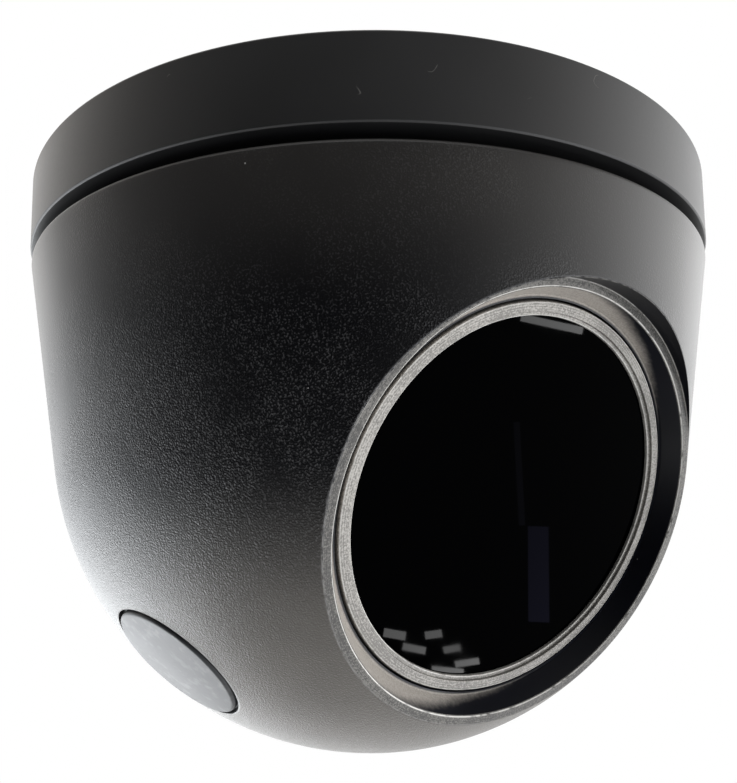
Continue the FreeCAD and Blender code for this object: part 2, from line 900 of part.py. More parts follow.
def friction_washers():
    """Thin washers between the ears and the cradle's bosses, which hold the tilt by friction."""
    washers = []
    for side in (-1, 1):
        inner_face = trunnion_face + washer_gap
        low, high = sorted((side * inner_face, side * (inner_face + washer_thickness)))
        washer = ring(pivot_shank + pivot_clearance, trunnion_radius, low, high)
        washers.append(move(turn(washer, 90, Vector(0, 1, 0)), z=pivot_place))
    return along_window(group(washers))


def module_housing():
    """Round can that holds the lens, sensor and lamps, with a front flange and a clip groove."""
    inner = module_radius - module_wall
    body = turned(
        (0, module_rear),
        (module_radius, module_rear),
        (module_radius, module_front),
        (inner, module_front),
        (inner, module_rear + module_back),
        (0, module_rear + module_back),
    )
    flange_low = cradle_front + roll_gap
    flange_high = flange_low + module_flange_thickness
    flange = ring(module_radius - spare, cradle_inner + module_flange_width, flange_low, flange_high)
    swept = 2 * roll_range + 2 * roll_nub_angle
    travel = sector(module_radius, cradle_outer + spare, flange_low - spare, flange_high + spare, 90, swept)
    inside = module_rear + spare
    posts = [disc(sensor_post_radius, inside, sensor_board_back, x, y) for x, y in sensor_post_places()]
    lamp_posts = [disc(lamp_post_radius, inside, module_front, x, y) for x, y in led_screw_places()]
    body = join(body, flange.cut(travel), *posts, *lamp_posts)
    clip_high = cradle_rear - roll_gap
    clip_low = clip_high - roll_clip_thickness - seat_gap
    groove = ring(module_radius - roll_groove, cradle_outer + spare, clip_low, clip_high)
    pilot = small_shank + thread_gap
    sensor_end = sensor_board_back - sensor_post_height - screw_end_gap
    led_end = module_front - led_screw_grip - screw_end_gap
    sink_pilot = disc(pilot, module_rear - spare, module_rear + module_back + spare)
    pilots = [disc(pilot, sensor_end, sensor_board_back + spare, x, y) for x, y in sensor_post_places()]
    pilots += [disc(pilot, led_end, module_front + spare, x, y) for x, y in led_screw_places()]
    pilots += [move(sink_pilot, x) for x in (-sink_screw_offset, sink_screw_offset)]
    return along_window(body.cut([groove, *pilots]))


def roll_clip():
    """Open snap ring in the can's groove, behind the cradle."""
    high = cradle_rear - roll_gap - seat_gap / 2
    low = high - roll_clip_thickness
    inner = module_radius - roll_groove
    body = ring(inner + seat_gap, inner + roll_clip_width, low, high)
    mouth = sector(inner - spare, cradle_outer + spare, low - spare, high + spare, 90, roll_clip_mouth)
    return along_window(body.cut(mouth))


def heat_sink():
    """Round finned plate on the can's back."""
    plate_low = module_rear - sink_base
    fin_low = plate_low - sink_fin_height
    rim = disc(sink_radius, fin_low, module_rear)
    fins = []
    for index in range(-sink_fins_a_side, sink_fins_a_side + 1):
        x = index * sink_fin_pitch
        half = sink_fin_thickness / 2
        fin = block(x - half, x + half, -sink_radius, sink_radius, fin_low, plate_low)
        fins.append(fin.common(rim))
    body = join(disc(sink_radius, plate_low, module_rear), *fins)
    hole = disc(small_shank + pivot_clearance, plate_low - spare, module_rear + spare)
    holes = [move(hole, x) for x in (-sink_screw_offset, sink_screw_offset)]
    return along_window(body.cut(holes))


def heat_sink_screws():
    """Screws through the heat sink into the can's back."""
    screw = pan_head_screw(small_shank, small_head, small_head_height, sink_base + module_back)
    screw = turn(screw, 180, Vector(1, 0, 0))
    places = (-sink_screw_offset, sink_screw_offset)
    return along_window(group([move(screw, x, 0, module_rear - sink_base) for x in places]))


def sensor_board():
    """Square board behind the lens."""
    half = sensor_board_side / 2
    body = block(-half, half, -half, half, sensor_board_back, sensor_board_front)
    hole = disc(small_shank + pivot_clearance, sensor_board_back - spare, sensor_board_front + spare)
    holes = [move(hole, x, y) for x, y in sensor_post_places()]
    return along_window(body.cut(holes))


def sensor_board_screws():
    """Screws at the sensor board's corners."""
    length = sensor_board_thickness + sensor_post_height
    screw = pan_head_screw(small_shank, small_head, small_head_height, length)
    return along_window(group([move(screw, x, y, sensor_board_front) for x, y in sensor_post_places()]))


def image_sensor():
    """Flat chip under the lens."""
    half_length = sensor_length / 2
    half_width = sensor_width / 2
    low = sensor_board_front
    return along_window(block(-half_length, half_length, -half_width, half_width, low, low + sensor_height))


def lens_holder():
    """Threaded holder that stands over the sensor."""
    half = holder_foot / 2
    low = sensor_board_front
    corner = sensor_post_place - small_head - holder_screw_gap
    foot = block(-half, half, -corner, corner, low, low + holder_foot_height)
    foot = foot.fuse(block(-corner, corner, -half, half, low, low + holder_foot_height))
    bore = barrel_radius + barrel_gap
    tower = disc(bore + holder_wall, low, low + holder_height)
    reach_x = sensor_length / 2 + sensor_room
    reach_y = sensor_width / 2 + sensor_room
    room = block(-reach_x, reach_x, -reach_y, reach_y, low - spare, low + sensor_height + sensor_room)
    return along_window(join(foot, tower).cut([disc(bore, low - spare, low + holder_height + spare), room]))


def lens_barrel():
    """Barrel with a wider head that looks through the lamp board."""
    back = lens_front - barrel_length
    body = turned(
        (0, back),
        (barrel_radius, back),
        (barrel_radius, lens_front - barrel_head_length),
        (barrel_head_radius, lens_front - barrel_head_length),
        (barrel_head_radius, lens_front - barrel_edge),
        (barrel_head_radius - barrel_edge, lens_front),
        (lens_radius + barrel_flare, lens_front),
        (lens_radius, lens_front - barrel_recess),
        (lens_radius, lens_front - barrel_recess - lens_edge),
        (lens_radius - holder_wall, lens_front - barrel_recess - lens_edge),
        (lens_radius - holder_wall, back + holder_wall),
        (0, back + holder_wall),
    )
    return along_window(body)


def front_lens():
    """Front glass: a bulging cap on a short edge."""
    edge_high = lens_front - barrel_recess
    radius = lens_radius - thread_gap
    curve = (radius**2 + lens_bulge**2) / (2 * lens_bulge)
    ball = Part.makeSphere(curve, Vector(0, 0, edge_high + lens_bulge - curve))
    return along_window(disc(radius, edge_high - lens_edge, edge_high + 2 * lens_bulge).common(ball))


def lens_baffle():
    """Rubber ring that keeps the lamps' light out of the lens."""
    inner = barrel_head_radius + led_hole_gap + baffle_gap
    outer = inner + baffle_wall
    low = led_board_front
    tip = outer - baffle_edge
    return along_window(turned((inner, low), (outer, low), (tip, baffle_front), (inner, baffle_front)))


def led_board():
    """Round lamp board on the can's front."""
    inner = barrel_head_radius + led_hole_gap
    body = ring(inner, module_radius - led_board_inset, module_front, led_board_front)
    hole = disc(small_shank + pivot_clearance, module_front - spare, led_board_front + spare)
    holes = [move(hole, x, y) for x, y in led_screw_places()]
    return along_window(body.cut(holes))


def led_board_screws():
    """Screws that hold the lamp board."""
    length = led_board_thickness + led_screw_grip
    screw = pan_head_screw(small_shank, small_head, small_head_height, length)
    return along_window(group([move(screw, x, y, led_board_front) for x, y in led_screw_places()]))


def infrared_leds():
    """Square lamps, each with a small tapered lens."""
    half = led_size / 2
    low = led_board_front
    base = block(led_pitch_radius - half, led_pitch_radius + half, -half, half, low, low + led_height)
    lens_base = Vector(led_pitch_radius, 0, low + led_height)
    lens = Part.makeCone(led_lens_radius, led_lens_radius / 2, led_lens_height, lens_base)
    return along_window(group(around(join(base, lens), led_count)))


NODES = {
    "base_ring": base_ring,
    "lock_screw": lock_screw,
    "mounting_plate": mounting_plate,
    "ceiling_gasket": ceiling_gasket,
    "cable_grommet": cable_grommet,
    "glide_ring": glide_ring,
    "dome_shell": dome_shell,
    "pan_ring": pan_ring,
    "pan_ring_screws": pan_ring_screws,
    "pan_seal": pan_seal,
    "window": window,
    "window_gasket": window_gasket,
    "window_bezel": window_bezel,
    "service_plug": service_plug,
    "plug_seal": plug_seal,
    "chassis": chassis,
    "chassis_screws": chassis_screws,
    "main_board": main_board,
    "board_posts": board_posts,
    "board_screws": board_screws,
    "board_parts": board_parts,
    "tilt_cradle": tilt_cradle,
    "pivot_screws": pivot_screws,
    "friction_washers": friction_washers,
    "module_housing": module_housing,
    "roll_clip": roll_clip,
    "heat_sink": heat_sink,
    "heat_sink_screws": heat_sink_screws,
    "sensor_board": sensor_board,
    "sensor_board_screws": sensor_board_screws,
    "image_sensor": image_sensor,
    "lens_holder": lens_holder,
    "lens_barrel": lens_barrel,
    "front_lens": front_lens,
    "lens_baffle": lens_baffle,
    "led_board": led_board,
    "led_board_screws": led_board_screws,
    "infrared_leds": infrared_leds,
}


os.makedirs("parts", exist_ok=True)
for name, build in NODES.items():
    shape = build()
    state = "valid" if shape.isValid() else "INVALID"
    print(name, len(shape.Solids), "solids", round(shape.Volume), "mm3", state)
    shape.exportStep(os.path.join("parts", name + ".step"))
print("pivot", pivot_point(), "taper", round(math.degrees(taper), 2), "lip plane", round(lip_plane, 3))
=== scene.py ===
"""Looks of a ceiling turret camera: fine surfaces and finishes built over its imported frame.

Sizes are millimetres. A piece is modelled in its own turning frame, and Solid puts it in place and then
makes its sizes metres.
"""

import logging
import math
from collections.abc import Iterable, Mapping, Sequence
from dataclasses import dataclass, field
from enum import Enum
from typing import Any

import bmesh
import bpy
from mathutils import Matrix, Vector


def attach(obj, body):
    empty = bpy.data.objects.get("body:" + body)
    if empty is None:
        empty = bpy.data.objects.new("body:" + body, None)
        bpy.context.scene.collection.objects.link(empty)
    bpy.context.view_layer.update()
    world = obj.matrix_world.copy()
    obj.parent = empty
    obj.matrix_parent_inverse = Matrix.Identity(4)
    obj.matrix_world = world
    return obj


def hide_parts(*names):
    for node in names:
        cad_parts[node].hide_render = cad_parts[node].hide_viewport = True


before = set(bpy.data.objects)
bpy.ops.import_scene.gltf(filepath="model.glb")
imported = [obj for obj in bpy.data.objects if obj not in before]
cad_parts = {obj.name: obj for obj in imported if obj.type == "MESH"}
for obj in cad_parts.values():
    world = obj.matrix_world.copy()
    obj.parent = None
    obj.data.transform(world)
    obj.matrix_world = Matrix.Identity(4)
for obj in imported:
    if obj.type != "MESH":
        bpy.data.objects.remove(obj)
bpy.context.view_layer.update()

LOG = logging.getLogger("turret_camera")
METRES = 0.001
FULL_TURN = 360.0
SHARP_ANGLE = math.radians(20)

# How far a cutting solid reaches past what it cuts, and how far joined solids run into each other.
SPARE = 1.0
OVERLAP = 0.5

# Corners closer than the first are one corner, and edges shorter than the second are taken out.
WELD = 0.0005
SLIVER = 0.0001

# Facets round a full turn, from the largest pieces down to screw pilots and a screw's socket.
FINE_STEPS = 288
PLUG_STEPS = 144
SMALL_STEPS = 96
SCREW_STEPS = 48
TINY_STEPS = 24
HEXAGON = 6

# Facets along a sector and along a rounded corner, and the corner's shape, where 0.5 is part of a circle.
SECTOR_STEPS = 24
CORNER_STEPS = 5
CORNER_PROFILE = 0.5

Triple = tuple[float, float, float]
Colour = Triple

# Two numbers that belong together, such as where a mask is 0 and where it is 1.
Band = tuple[float, float]
WHITE = (1.0, 1.0, 1.0)


class Body(Enum):
    """The bodies that pieces ride on."""

    BASE = "base"
    DOME = "dome"


class Slot(Enum):
    """The record's material slots, one of which is given with each new piece."""

    RING_PLASTIC = "ring_plastic"
    DOME_PLASTIC = "dome_plastic"
    SEAL_RUBBER = "seal_rubber"
    BEZEL_METAL = "bezel_metal"
    WINDOW_BLACK = "window_black"
    INNER_PLASTIC = "inner_plastic"
    SCREW_STEEL = "screw_steel"


class Combine(Enum):
    """How one solid is worked with another."""

    JOIN = "UNION"
    CUT = "DIFFERENCE"
    KEEP_COMMON = "INTERSECT"


# Shader graphs


HALF = 0.5

# Where a Mix node has its two colours and the mixed one.
MIX_FIRST = 6
MIX_SECOND = 7
MIX_RESULT = 2

# How sharply a cell is chosen to hold a speck, and the soft share of a speck's radius.
DRAW_STEP = 0.01
SPECK_EDGE = 0.15

# The finer layers of turned lines.
LINE_LAYERS = {"Detail": 3.0, "Roughness": 0.7}


class Value:
    """A number socket that takes part in Python arithmetic."""

    def __init__(self, graph: "Graph", socket: bpy.types.NodeSocket) -> None:
        """Wraps a socket.

        Args:
            graph: The graph that the socket belongs to.
            socket: An output socket that carries a number.
        """
        self.graph = graph
        self.socket = socket

    def __add__(self, other: "Number") -> "Value":
        """Adds."""
        return self.graph.maths("ADD", self, other)

    def __radd__(self, other: "Number") -> "Value":
        """Adds from the left."""
        return self.graph.maths("ADD", other, self)

    def __sub__(self, other: "Number") -> "Value":
        """Subtracts."""
        return self.graph.maths("SUBTRACT", self, other)

    def __rsub__(self, other: "Number") -> "Value":
        """Subtracts this from a number."""
        return self.graph.maths("SUBTRACT", other, self)

    def __mul__(self, other: "Number") -> "Value":
        """Multiplies."""
        return self.graph.maths("MULTIPLY", self, other)

    def __rmul__(self, other: "Number") -> "Value":
        """Multiplies from the left."""
        return self.graph.maths("MULTIPLY", other, self)

    def __truediv__(self, other: "Number") -> "Value":
        """Divides."""
        return self.graph.maths("DIVIDE", self, other)

    def root(self) -> "Value":
        """The square root."""
        return self.graph.maths("POWER", self, HALF)

    def at_least(self, other: "Number") -> "Value":
        """The larger of the two."""
        return self.graph.maths("MAXIMUM", self, other)

    def size(self) -> "Value":
        """The number without its sign."""
        return self.graph.maths("ABSOLUTE", self)

    def rise(self, low: float, high: float) -> "Value":
        """Goes smoothly from 0 to 1 while the number goes from low to high.

        Args:
            low: Where the result is 0.
            high: Where the result is 1, which may lie below low.

        Returns:
            The eased number.
        """
        settings = {"interpolation_type": "SMOOTHSTEP"}
        sockets = {"Value": self, "From Min": low, "From Max": high}
        return self.graph.number("ShaderNodeMapRange", settings, sockets)


Number = Value | float


@dataclass(frozen=True)
class Mottle:
    """Soft noise: how far apart its blotches are, its finer layers, and how strong those are."""

    size: float
    detail: float = 2.0
    roughness: float = 0.5


@dataclass(frozen=True)
class Specks:
    """Round spots: the pitch of their cells, the largest radius, and the share of cells with one."""

    pitch: float
    radius: float
    share: float


class Graph:
    """Builds the nodes of one material or world."""

    def __init__(self, tree: bpy.types.NodeTree) -> None:
        """Empties the tree.

        Args:
            tree: The node tree to fill.
        """
        self.tree = tree
        tree.nodes.clear()

    def node(
        self, kind: str, settings: Mapping[str, Any] | None = None, sockets: Mapping[Any, Any] | None = None
    ) -> bpy.types.Node:
        """Adds a node.

        Args:
            kind: The node's type.
            settings: Its settings, which are set first.
            sockets: Values or links for its inputs, by name or number.

        Returns:
            The new node.
        """
        made = self.tree.nodes.new(kind)
        for name, value in (settings or {}).items():
            setattr(made, name, value)
        for name, value in (sockets or {}).items():
            source = value.socket if isinstance(value, Value) else value
            if isinstance(source, bpy.types.NodeSocket):
                self.tree.links.new(source, made.inputs[name])
            else:
                made.inputs[name].default_value = source
        return made

    def number(
        self, kind: str, settings: Mapping[str, Any], sockets: Mapping[Any, Any], output: int = 0
    ) -> Value:
        """Adds a node and wraps one of its outputs.

        Args:
            kind: The node's type.
            settings: Its settings.
            sockets: Values or links for its inputs.
            output: Which output carries the number.

        Returns:
            The wrapped output.
        """
        return Value(self, self.node(kind, settings, sockets).outputs[output])

    def maths(self, operation: str, *values: Number) -> Value:
        """Adds a Math node."""
        return self.number("ShaderNodeMath", {"operation": operation}, dict(enumerate(values)))

    def vector(self, operation: str, sockets: Mapping[Any, Any]) -> bpy.types.NodeSocket:
        """Adds a Vector Math node that gives a vector."""
        return self.node("ShaderNodeVectorMath", {"operation": operation}, sockets).outputs[0]

    def measure(self, operation: str, sockets: Mapping[Any, Any]) -> Value:
        """Adds a Vector Math node that gives a number."""
        return self.number("ShaderNodeVectorMath", {"operation": operation}, sockets, output=1)

    def place(self) -> bpy.types.NodeSocket:
        """The point on the piece, in millimetres of the part's own frame."""
        metres = self.node("ShaderNodeTexCoord").outputs["Object"]
        return self.vector("SCALE", {0: metres, "Scale": 1 / METRES})

    def height(self, place: Any) -> Value:
        """The height of a point."""
        return self.number("ShaderNodeSeparateXYZ", {}, {0: place}, output=2)

    def noise(self, place: Any, mottle: Mottle) -> Value:
        """Makes soft noise.

        Args:
            place: The point, in millimetres.
            mottle: What the noise is like.

        Returns:
            The noise, between 0 and 1.
        """
        sockets = {"Vector": place, "Scale": 1 / mottle.size}
        sockets |= {"Detail": mottle.detail, "Roughness": mottle.roughness}
        return self.number("ShaderNodeTexNoise", {}, sockets)

    def specks(self, place: Any, specks: Specks) -> Value:
        """Makes small round spots.

        Args:
            place: The point, in millimetres.
            specks: What the spots are like.

        Returns:
            The mask, which is 1 inside a spot and 0 elsewhere.
        """
        cell = self.node("ShaderNodeTexVoronoi", {}, {"Vector": place, "Scale": 1 / specks.pitch})
        draw = self.node("ShaderNodeSeparateColor", {}, {0: cell.outputs["Color"]})
        empty = 1 - specks.share
        chosen = Value(self, draw.outputs[0]).rise(empty, empty + DRAW_STEP)
        largest = specks.radius / specks.pitch
        reach = Value(self, draw.outputs[1]) * largest
        inside = (reach - Value(self, cell.outputs["Distance"])).rise(0, SPECK_EDGE * largest)
        return chosen * inside

    def colour(self, share: Number, first: Any, second: Any) -> bpy.types.NodeSocket:
        """Mixes two colours.

        Args:
            share: How much of the second, from 0 to 1.
            first: A colour or a colour socket.
            second: A colour or a colour socket.

        Returns:
            The mixed colour.
        """
        sockets = {0: share, MIX_FIRST: _with_alpha(first), MIX_SECOND: _with_alpha(second)}
        mixed = self.node("ShaderNodeMix", {"data_type": "RGBA", "clamp_factor": True}, sockets)
        return mixed.outputs[MIX_RESULT]

    def bump(self, height: Value, depth: float, below: Any = None) -> bpy.types.NodeSocket:
        """Tilts the normal by a height.

        Args:
            height: The height, where 1 is the full depth.
            depth: The depth of the relief in millimetres.
            below: The normal that this relief lies on, if any.

        Returns:
            The tilted normal.
        """
        sockets = {"Height": height, "Distance": depth * METRES}
        if below is not None:
            sockets["Normal"] = below
        return self.node("ShaderNodeBump", {}, sockets).outputs[0]

    def round_axis(self, place: Any, axis: "Axis") -> tuple[Value, Value]:
        """Where the point lies from a turning axis.

        Args:
            place: The point, in millimetres.
            axis: The turning axis.

        Returns:
            The distance along the axis and the distance from it.
        """
        offset = self.vector("SUBTRACT", {0: place, 1: axis.origin})
        along = self.measure("DOT_PRODUCT", {0: offset, 1: axis.direction})
        away = self.measure("LENGTH", {0: offset})
        return along, (away * away - along * along).at_least(0.0).root()

    def turned_lines(self, distance: Value, pitch: float) -> Value:
        """Uneven fine lines round an axis.

        Args:
            distance: The distance that the lines are spaced over.
            pitch: About how far apart they are.

        Returns:
            Noise that changes only with the distance.
        """
        sockets = {"W": distance, "Scale": 1 / pitch} | LINE_LAYERS
        return self.number("ShaderNodeTexNoise", {"noise_dimensions": "1D"}, sockets)


def _with_alpha(colour: Any) -> Any:
    """A colour of three numbers gets an alpha, and a socket stays as it is."""
    return (*colour, 1.0) if isinstance(colour, tuple) else colour


# Turning frames and solids


@dataclass(frozen=True)
class Axis:
    """A turning axis, with the frame whose +Z lies along it."""

    origin: Vector
    direction: Vector

    def matrix(self) -> Matrix:
        """The frame's place, in millimetres."""
        up = Vector((0, 0, 1))
        return Matrix.Translation(self.origin) @ up.rotation_difference(self.direction).to_matrix().to_4x4()


UPRIGHT = Axis(Vector((0, 0, 0)), Vector((0, 0, 1)))


@dataclass(frozen=True)
class Corner:
    """A corner of an outline: its radius and height, what rounds it, and the steps of the line to it."""

    radius: float
    height: float
    round: float = 0.0
    steps: int = 1


@dataclass(frozen=True)
class Bend:
    """A stretch of an outline on a circle about a point of the axis, from the last corner on."""

    centre_height: float
    degrees: float
    steps: int


class Outline:
    """A section that is turned about +Z into a solid."""

    def __init__(self, *parts: Corner | Bend, closed: bool = True) -> None:
        """Lays the section in the XZ plane.

        Args:
            parts: Corners joined by straight lines, and bends that start at the corner before them.
            closed: Whether the last corner joins the first. An open section starts and ends on the axis.
        """
        self.mesh = bmesh.new()
        points: list[bmesh.types.BMVert] = []
        rounds: list[tuple[bmesh.types.BMVert, float]] = []
        for part in parts:
            start = points[-1].co.copy() if points else Vector()
            if isinstance(part, Bend):
                points += self._bend(points[-1], part)
                continue
            point = self.mesh.verts.new((part.radius, 0, part.height))
            for step in range(1, part.steps):
                between = self.mesh.verts.new(start.lerp(point.co, step / part.steps))
                self.mesh.edges.new((points[-1], between))
                points.append(between)
            if points:
                self.mesh.edges.new((points[-1], point))
            points.append(point)
            if part.round:
                rounds.append((point, part.round))
        if closed:
            self.mesh.edges.new((points[-1], points[0]))
        for point, amount in rounds:
            self._round(point, amount)

    def _bend(self, start: bmesh.types.BMVert, bend: Bend) -> list[bmesh.types.BMVert]:
        """Spins the last corner about a point of the axis.

        Args:
            start: The last corner.
            bend: The stretch to add.

        Returns:
            The new points, in order.
        """
        before = set(self.mesh.verts)
        bmesh.ops.spin(
            self.mesh,
            geom=[start],
            cent=(0, 0, bend.centre_height),
            axis=(0, 1, 0),
            angle=math.radians(bend.degrees),
            steps=bend.steps,
        )
        made = [vert for vert in self.mesh.verts if vert not in before]
        last = min(made, key=lambda vert: abs(len(vert.link_edges) - 1))
        ordered = [last]
        while True:
            nearer = [edge.other_vert(ordered[-1]) for edge in ordered[-1].link_edges]
            nearer = [vert for vert in nearer if vert in made and vert not in ordered]
            if not nearer:
                return ordered[::-1]
            ordered.append(nearer[0])

    def _round(self, point: bmesh.types.BMVert, amount: float) -> None:
        """Rounds one corner of the section.

        Args:
            point: The corner.
            amount: The radius that rounds it.
        """
        first, second = (edge.other_vert(point).co - point.co for edge in point.link_edges)
        offset = amount / math.tan(first.angle(second) / 2)
        bmesh.ops.bevel(
            self.mesh,
            geom=[point],
            offset=offset,
            offset_type="OFFSET",
            segments=CORNER_STEPS,
            profile=CORNER_PROFILE,
            affect="VERTICES",
            clamp_overlap=False,
            material=-1,
        )

    def turn(self, steps: int = FINE_STEPS) -> bmesh.types.BMesh:
        """Turns the section into a closed solid.

        Args:
            steps: How many facets a full turn has.

        Returns:
            The solid's mesh, in the turning frame.
        """
        bmesh.ops.spin(
            self.mesh,
            geom=self.mesh.verts[:] + self.mesh.edges[:],
            cent=(0, 0, 0),
            axis=(0, 0, 1),
            angle=2 * math.pi,
            steps=steps,
            use_merge=True,
        )
        return closed(self.mesh)

    def sweep(self, middle: float, width: float) -> bmesh.types.BMesh:
        """Turns the section through part of a circle, with flat ends.

        Args:
            middle: The angle of the stretch's middle, in degrees.
            width: How many degrees it takes.

        Returns:
            The solid's mesh, in the turning frame.
        """
        bmesh.ops.contextual_create(self.mesh, geom=self.mesh.edges[:])
        start = Matrix.Rotation(math.radians(middle - width / 2), 4, "Z")
        bmesh.ops.transform(self.mesh, matrix=start, verts=self.mesh.verts[:])
        bmesh.ops.spin(
            self.mesh,
            geom=self.mesh.verts[:] + self.mesh.edges[:] + self.mesh.faces[:],
            cent=(0, 0, 0),
            axis=(0, 0, 1),
            angle=math.radians(width),
            steps=SECTOR_STEPS,
        )
        return closed(self.mesh)


def closed(mesh: bmesh.types.BMesh) -> bmesh.types.BMesh:
    """Merges doubles and poles, and turns the faces outwards.

    Args:
        mesh: The mesh to close.

    Returns:
        The same mesh.
    """
    bmesh.ops.remove_doubles(mesh, verts=mesh.verts[:], dist=WELD)
    bmesh.ops.dissolve_degenerate(mesh, edges=mesh.edges[:], dist=SLIVER)
    bmesh.ops.recalc_face_normals(mesh, faces=mesh.faces[:])
    return mesh


def bar(
    radius: float, low: float, high: float, edge: float = 0.0, steps: int = SMALL_STEPS
) -> bmesh.types.BMesh:
    """A round bar along +Z.

    Args:
        radius: Its radius.
        low: The height of its lower end.
        high: The height of its upper end.
        edge: The radius that rounds its ends' edges.
        steps: How many facets it has round it.

    Returns:
        The bar's mesh.
    """
    corners = (Corner(0, low), Corner(radius, low, edge), Corner(radius, high, edge), Corner(0, high))
    return Outline(*corners, closed=False).turn(steps)


def box(low: Sequence[float], high: Sequence[float]) -> bmesh.types.BMesh:
    """A block between two corners.

    Args:
        low: Its lowest corner.
        high: Its highest corner.

    Returns:
        The block's mesh.
    """
    mesh = bmesh.new()
    size = Vector(high) - Vector(low)
    middle = (Vector(high) + Vector(low)) / 2
    bmesh.ops.create_cube(mesh, size=1.0, matrix=Matrix.Translation(middle) @ Matrix.Diagonal((*size, 1)))
    return mesh


def block(inner: float, outer: float, low: float, high: float) -> Outline:
    """A section with four corners."""
    return Outline(Corner(inner, low), Corner(outer, low), Corner(outer, high), Corner(inner, high))


def add_object(name: str, data: Any) -> bpy.types.Object:
    """Puts a new object into the scene.

    Args:
        name: Its name.
        data: Its mesh, camera or lamp.

    Returns:
        The object.
    """
    made = bpy.data.objects.new(name, data)
    bpy.context.scene.collection.objects.link(made)
    return made


def add_mesh(name: str, mesh: bmesh.types.BMesh) -> bpy.types.Object:
    """Puts a mesh into the scene as an object.

    Args:
        name: The object's name.
        mesh: Its shape, which is used up.

    Returns:
        The object.
    """
    data = bpy.data.meshes.new(name)
    mesh.to_mesh(data)
    mesh.free()
    return add_object(name, data)


class Solid:
    """A solid in the part's frame, worked with others by boolean modifiers."""

    def __init__(self, mesh: bmesh.types.BMesh, axis: Axis = UPRIGHT, turn: float = 0.0) -> None:
        """Puts a mesh in place.

        Args:
            mesh: The solid, in its turning frame. It is used up.
            axis: The turning frame's place.
            turn: Degrees that the solid is turned about its own axis first.
        """
        move = axis.matrix() @ Matrix.Rotation(math.radians(turn), 4, "Z")
        bmesh.ops.transform(mesh, matrix=move, verts=mesh.verts[:])
        self.object = add_mesh("work", mesh)

    def work(self, how: Combine, *others: "Solid") -> "Solid":
        """Joins, cuts or keeps what is common, one solid after another.

        Args:
            how: What to do.
            others: The solids to work with, which are used up.

        Returns:
            This solid.
        """
        for other in others:
            modifier = self.object.modifiers.new(how.name.lower(), "BOOLEAN")
            modifier.operation = how.value
            modifier.solver = "MANIFOLD"
            modifier.object = other.object
            graph = bpy.context.evaluated_depsgraph_get()
            result = bpy.data.meshes.new_from_object(self.object.evaluated_get(graph))
            self.object.modifiers.clear()
            before = self.object.data
            self.object.data = result
            bpy.data.meshes.remove(before)
            other.discard()
        return self

    def discard(self) -> None:
        """Removes the solid."""
        data = self.object.data
        bpy.data.objects.remove(self.object)
        bpy.data.meshes.remove(data)

    def finish(
        self, name: str, body: Body, slot: Slot, finishes: Sequence["Finish"], nodes: Iterable[str]
    ) -> bpy.types.Object:
        """Turns the solid into a piece of the part.

        Args:
            name: The piece's name.
            body: The body that it rides on.
            slot: The record's slot for the piece. It is not used.
            finishes: Its finishes, in the order of its faces' material numbers.
            nodes: The frame's nodes that it stands for.

        Returns:
            The finished object.
        """
        made = self.object
        made.name = name
        made.data.name = name
        made.data.transform(Matrix.Scale(METRES, 4))
        made.data.shade_smooth()
        made.data.set_sharp_from_angle(angle=SHARP_ANGLE)
        made.modifiers.new("even_normals", "WEIGHTED_NORMAL").keep_sharp = True
        made.data.materials.clear()
        for finish in finishes:
            made.data.materials.append(finish.material())
        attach(made, body.value)
        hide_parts(*nodes)
        LOG.info("%s rides on %s with %d faces", name, body.value, len(made.data.polygons))
        return made


# Finishes


MADE_MATERIALS: dict[str, bpy.types.Material] = {}

# The part of a slow noise over which a colour changes into its other shade.
SLOW_CHANGE = (0.3, 0.7)


def shade(colour: Colour, times: float) -> Colour:
    """A lighter or darker shade of a colour, no brighter than white."""
    return tuple(min(1.0, times * part) for part in colour)


@dataclass(frozen=True)
class Finish:
    """What a surface looks like. Each kind adds how its colour, roughness and relief change."""

    name: str

    def material(self) -> bpy.types.Material:
        """Makes the finish's material the first time it is asked for.

        Returns:
            The material.
        """
        if self.name in MADE_MATERIALS:
            return MADE_MATERIALS[self.name]
        made = bpy.data.materials.new(self.name)
        MADE_MATERIALS[self.name] = made
        made.use_nodes = True
        graph = Graph(made.node_tree)
        shader = graph.node("ShaderNodeBsdfPrincipled", {}, self.sockets(graph, graph.place()))
        graph.node("ShaderNodeOutputMaterial", {}, {"Surface": shader.outputs[0]})
        return made

    def sockets(self, graph: Graph, place: Any) -> dict[str, Any]:
        """Makes what feeds the shader.

        Args:
            graph: The graph to build in.
            place: The point, in millimetres.

        Returns:
            Values and links for the shader's sockets.
        """
        raise NotImplementedError


